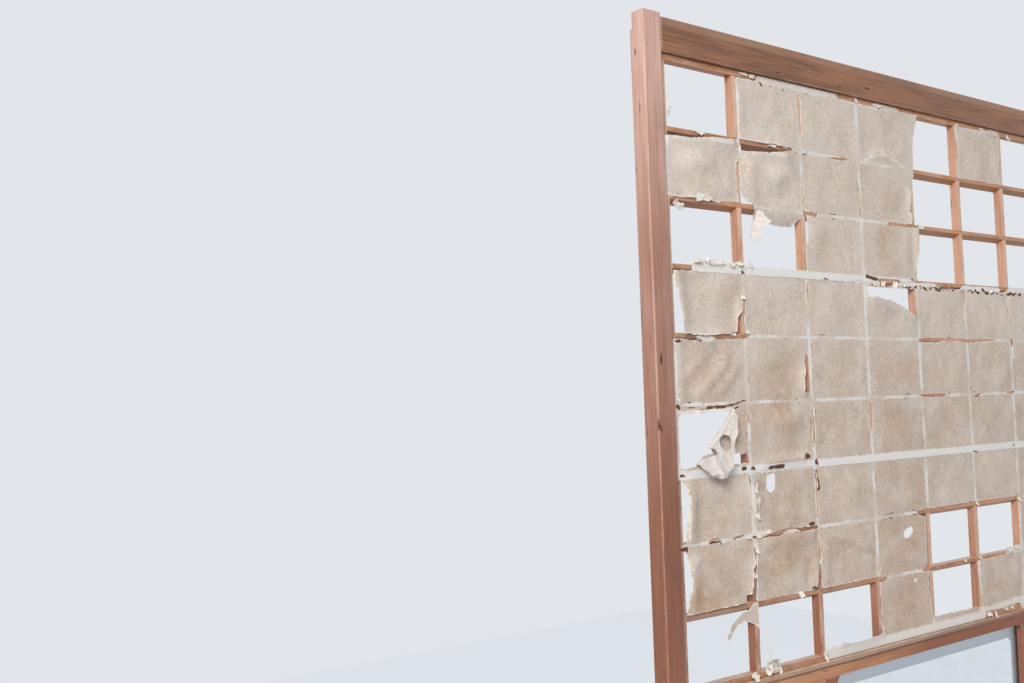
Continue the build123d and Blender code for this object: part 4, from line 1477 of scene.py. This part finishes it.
def make_flake(u, v, width, height, turn, curl, seed):
    """One flake at a place in cells: its size, its turn in degrees and how far it curls."""
    piece = flake.copy()
    piece.data = flake.data.copy()
    scene.collection.objects.link(piece)
    across = flake_shape[:, 0]
    along = flake_shape[:, 2]
    on_rim = np.hypot(across, along) > flake_rim
    rough = 1 + flake_roughness * noise_at(flake_shape, flake_detail, seed) * on_rim
    rough += flake_roughness * noise_at(flake_shape, fine_flake_detail, seed + fine_flake_seed) * on_rim
    sideways = across * rough * width
    upward = along * rough * height
    angle = math.radians(turn)
    centre = place(u, v, flake_lift)
    points = np.empty_like(flake_shape)
    points[:, 0] = centre.x + sideways * math.cos(angle) - upward * math.sin(angle)
    points[:, 2] = centre.z + sideways * math.sin(angle) + upward * math.cos(angle)
    raised = np.clip(0.5 - along, 0, 1) ** 2 * (1 + noise_at(flake_shape, curl_detail, seed + curl_seed))
    points[:, 1] = centre.y - curl * raised
    move_points(piece, points)
    return piece


# %% [markdown]
# Each row is one flake: its column and row in cells, width, height, turn and curl. A second list
# adds one tuft to every other hole below the upper seam.

# %% Places of the flakes
flakes_left = (
    (0.05, 0.62, 0.004, 0.012, 10, 0.004), (0.05, 0.78, 0.005, 0.010, -20, 0.003),
    (0.48, 0.99, 0.012, 0.005, 0, 0.003), (1.55, 0.985, 0.014, 0.005, 5, 0.003),
    (1.72, 0.975, 0.008, 0.004, -10, 0.002), (1.02, 1.06, 0.006, 0.016, 4, 0.002),
    (1.0, 1.22, 0.005, 0.012, 0, 0.002), (1.16, -0.06, 0.012, 0.004, 0, 0.001),
    (3.0, -0.06, 0.006, 0.008, 0, 0.002), (3.4, -0.04, 0.018, 0.004, 2, 0.001),
    (5.03, -0.02, 0.005, 0.006, 0, 0.002),
    (1.27, -0.05, 0.010, 0.005, 8, 0.002), (5.57, -0.05, 0.008, 0.004, 0, 0.001),
    (6.2, 0.01, 0.004, 0.009, 10, 0.004), (4.15, 2.0, 0.014, 0.004, 3, 0.002),
    (0.14, 2.12, 0.015, 0.007, 160, 0.003), (0.1, 2.08, 0.008, 0.005, 190, 0.003),
    (0.36, 2.9, 0.016, 0.005, 6, 0.004), (0.55, 2.89, 0.013, 0.006, -8, 0.004),
    (0.47, 2.87, 0.008, 0.004, 20, 0.005), (0.85, 2.91, 0.012, 0.005, 0, 0.003),
    (0.62, 2.9, 0.009, 0.004, 12, 0.004), (0.73, 2.91, 0.008, 0.004, -6, 0.003),
    (0.5, 1.965, 0.018, 0.006, 0, 0.003), (0.42, 1.97, 0.010, 0.005, 20, 0.003),
    (0.95, 2.9, 0.010, 0.005, 12, 0.004), (1.12, 2.9, 0.008, 0.005, -15, 0.004),
    (0.45, 4.02, 0.024, 0.012, 0, 0.002), (0.33, 4.0, 0.009, 0.004, 20, 0.002),
    (0.5, 3.96, 0.006, 0.005, 0, 0.002),
    (0.82, 3.97, 0.008, 0.004, 0, 0.003), (1.03, 3.93, 0.006, 0.006, 0, 0.003),
    (1.05, 6.22, 0.006, 0.018, 0, 0.003), (1.075, 6.45, 0.007, 0.016, -8, 0.004),
    (1.06, 6.68, 0.006, 0.014, 10, 0.003),
    (0.97, 3.4, 0.005, 0.007, 40, 0.004), (0.03, 4.9, 0.004, 0.010, 0, 0.003),
    (0.2, 6.28, 0.005, 0.003, 0, 0.002), (1.06, 6.48, 0.008, 0.004, -30, 0.004),
    (1.05, 6.7, 0.006, 0.006, 20, 0.004), (0.92, 7.0, 0.007, 0.004, 0, 0.003),
    (1.08, 7.0, 0.006, 0.004, 20, 0.002), (1.0, 7.58, 0.011, 0.005, 0, 0.002),
    (1.02, 7.16, 0.006, 0.012, 0, 0.004), (1.22, 6.96, 0.009, 0.004, 10, 0.002),
    (2.0, 7.55, 0.003, 0.007, 0, 0.003), (1.67, 7.98, 0.006, 0.006, 30, 0.005),
    (4.7, 7.98, 0.004, 0.003, 0, 0.002), (5.02, 7.98, 0.005, 0.004, 0, 0.002),
    (5.72, 7.95, 0.016, 0.005, 2, 0.002), (5.88, 7.93, 0.014, 0.005, -2, 0.002),
    (0.93, 9.04, 0.011, 0.008, 0, 0.004), (0.5, 9.06, 0.010, 0.004, 0, 0.002),
    (2.02, 9.03, 0.005, 0.012, 5, 0.004), (2.03, 8.93, 0.004, 0.010, -5, 0.003),
    (1.15, 8.95, 0.006, 0.010, 20, 0.005), (1.23, 9.0, 0.007, 0.008, -30, 0.005),
    (1.18, 8.84, 0.003, 0.012, 6, 0.003), (1.3, 9.02, 0.005, 0.010, -20, 0.004),
    (1.2, 8.7, 0.002, 0.012, -4, 0.002), (1.22, 8.6, 0.0016, 0.010, 8, 0.002),
    (1.12, 9.03, 0.006, 0.006, 50, 0.004), (1.27, 8.92, 0.004, 0.006, 30, 0.004),
    (5.15, 9.03, 0.010, 0.005, 15, 0.004), (5.3, 9.06, 0.006, 0.008, -30, 0.004),
    (5.55, 9.02, 0.008, 0.004, 0, 0.002), (5.68, 9.02, 0.006, 0.004, 0, 0.002),
    (5.98, 7.03, 0.008, 0.007, 0, 0.004), (5.02, 7.0, 0.007, 0.006, 0, 0.003),
)
tuft_turn = 40
tuft_curl = 0.003
tufts_below_seam = tuple(
    (
        hole_column(2 * index + wavering(index, 6, 0, 1)), wavering(index, 7, 3.05, 3.1),
        wavering(index, 8, 0.003, 0.009), wavering(index, 9, 0.003, 0.007), tuft_turn * index, tuft_curl,
    )
    for index in range(hole_count // 2)
)
print("places listed:", len(flakes_left), "and by the holes:", len(tufts_below_seam))

# %% [markdown]
# All flakes are the same torn fibre on the same wood, so they are joined into one piece. They are a
# little thicker than the sheets, because each is a few layers of fibre.

# %% Join the flakes
flake_thickness = 0.00035

flake_places = flakes_left + tufts_below_seam
pieces = [make_flake(*facts, seed) for seed, facts in enumerate(flake_places)]
bpy.data.objects.remove(flake)
paper_flakes = pieces[0]
select_only(paper_flakes)
for piece in pieces:
    piece.select_set(True)
bpy.ops.object.join()
paper_flakes.name = "paper_flakes"
give_finishes(paper_flakes, torn_fibre)
give_thickness(paper_flakes, flake_thickness, 1.0, 0)
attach(paper_flakes, "root")
print("flakes:", len(flake_places), "with", len(paper_flakes.data.polygons), "faces")
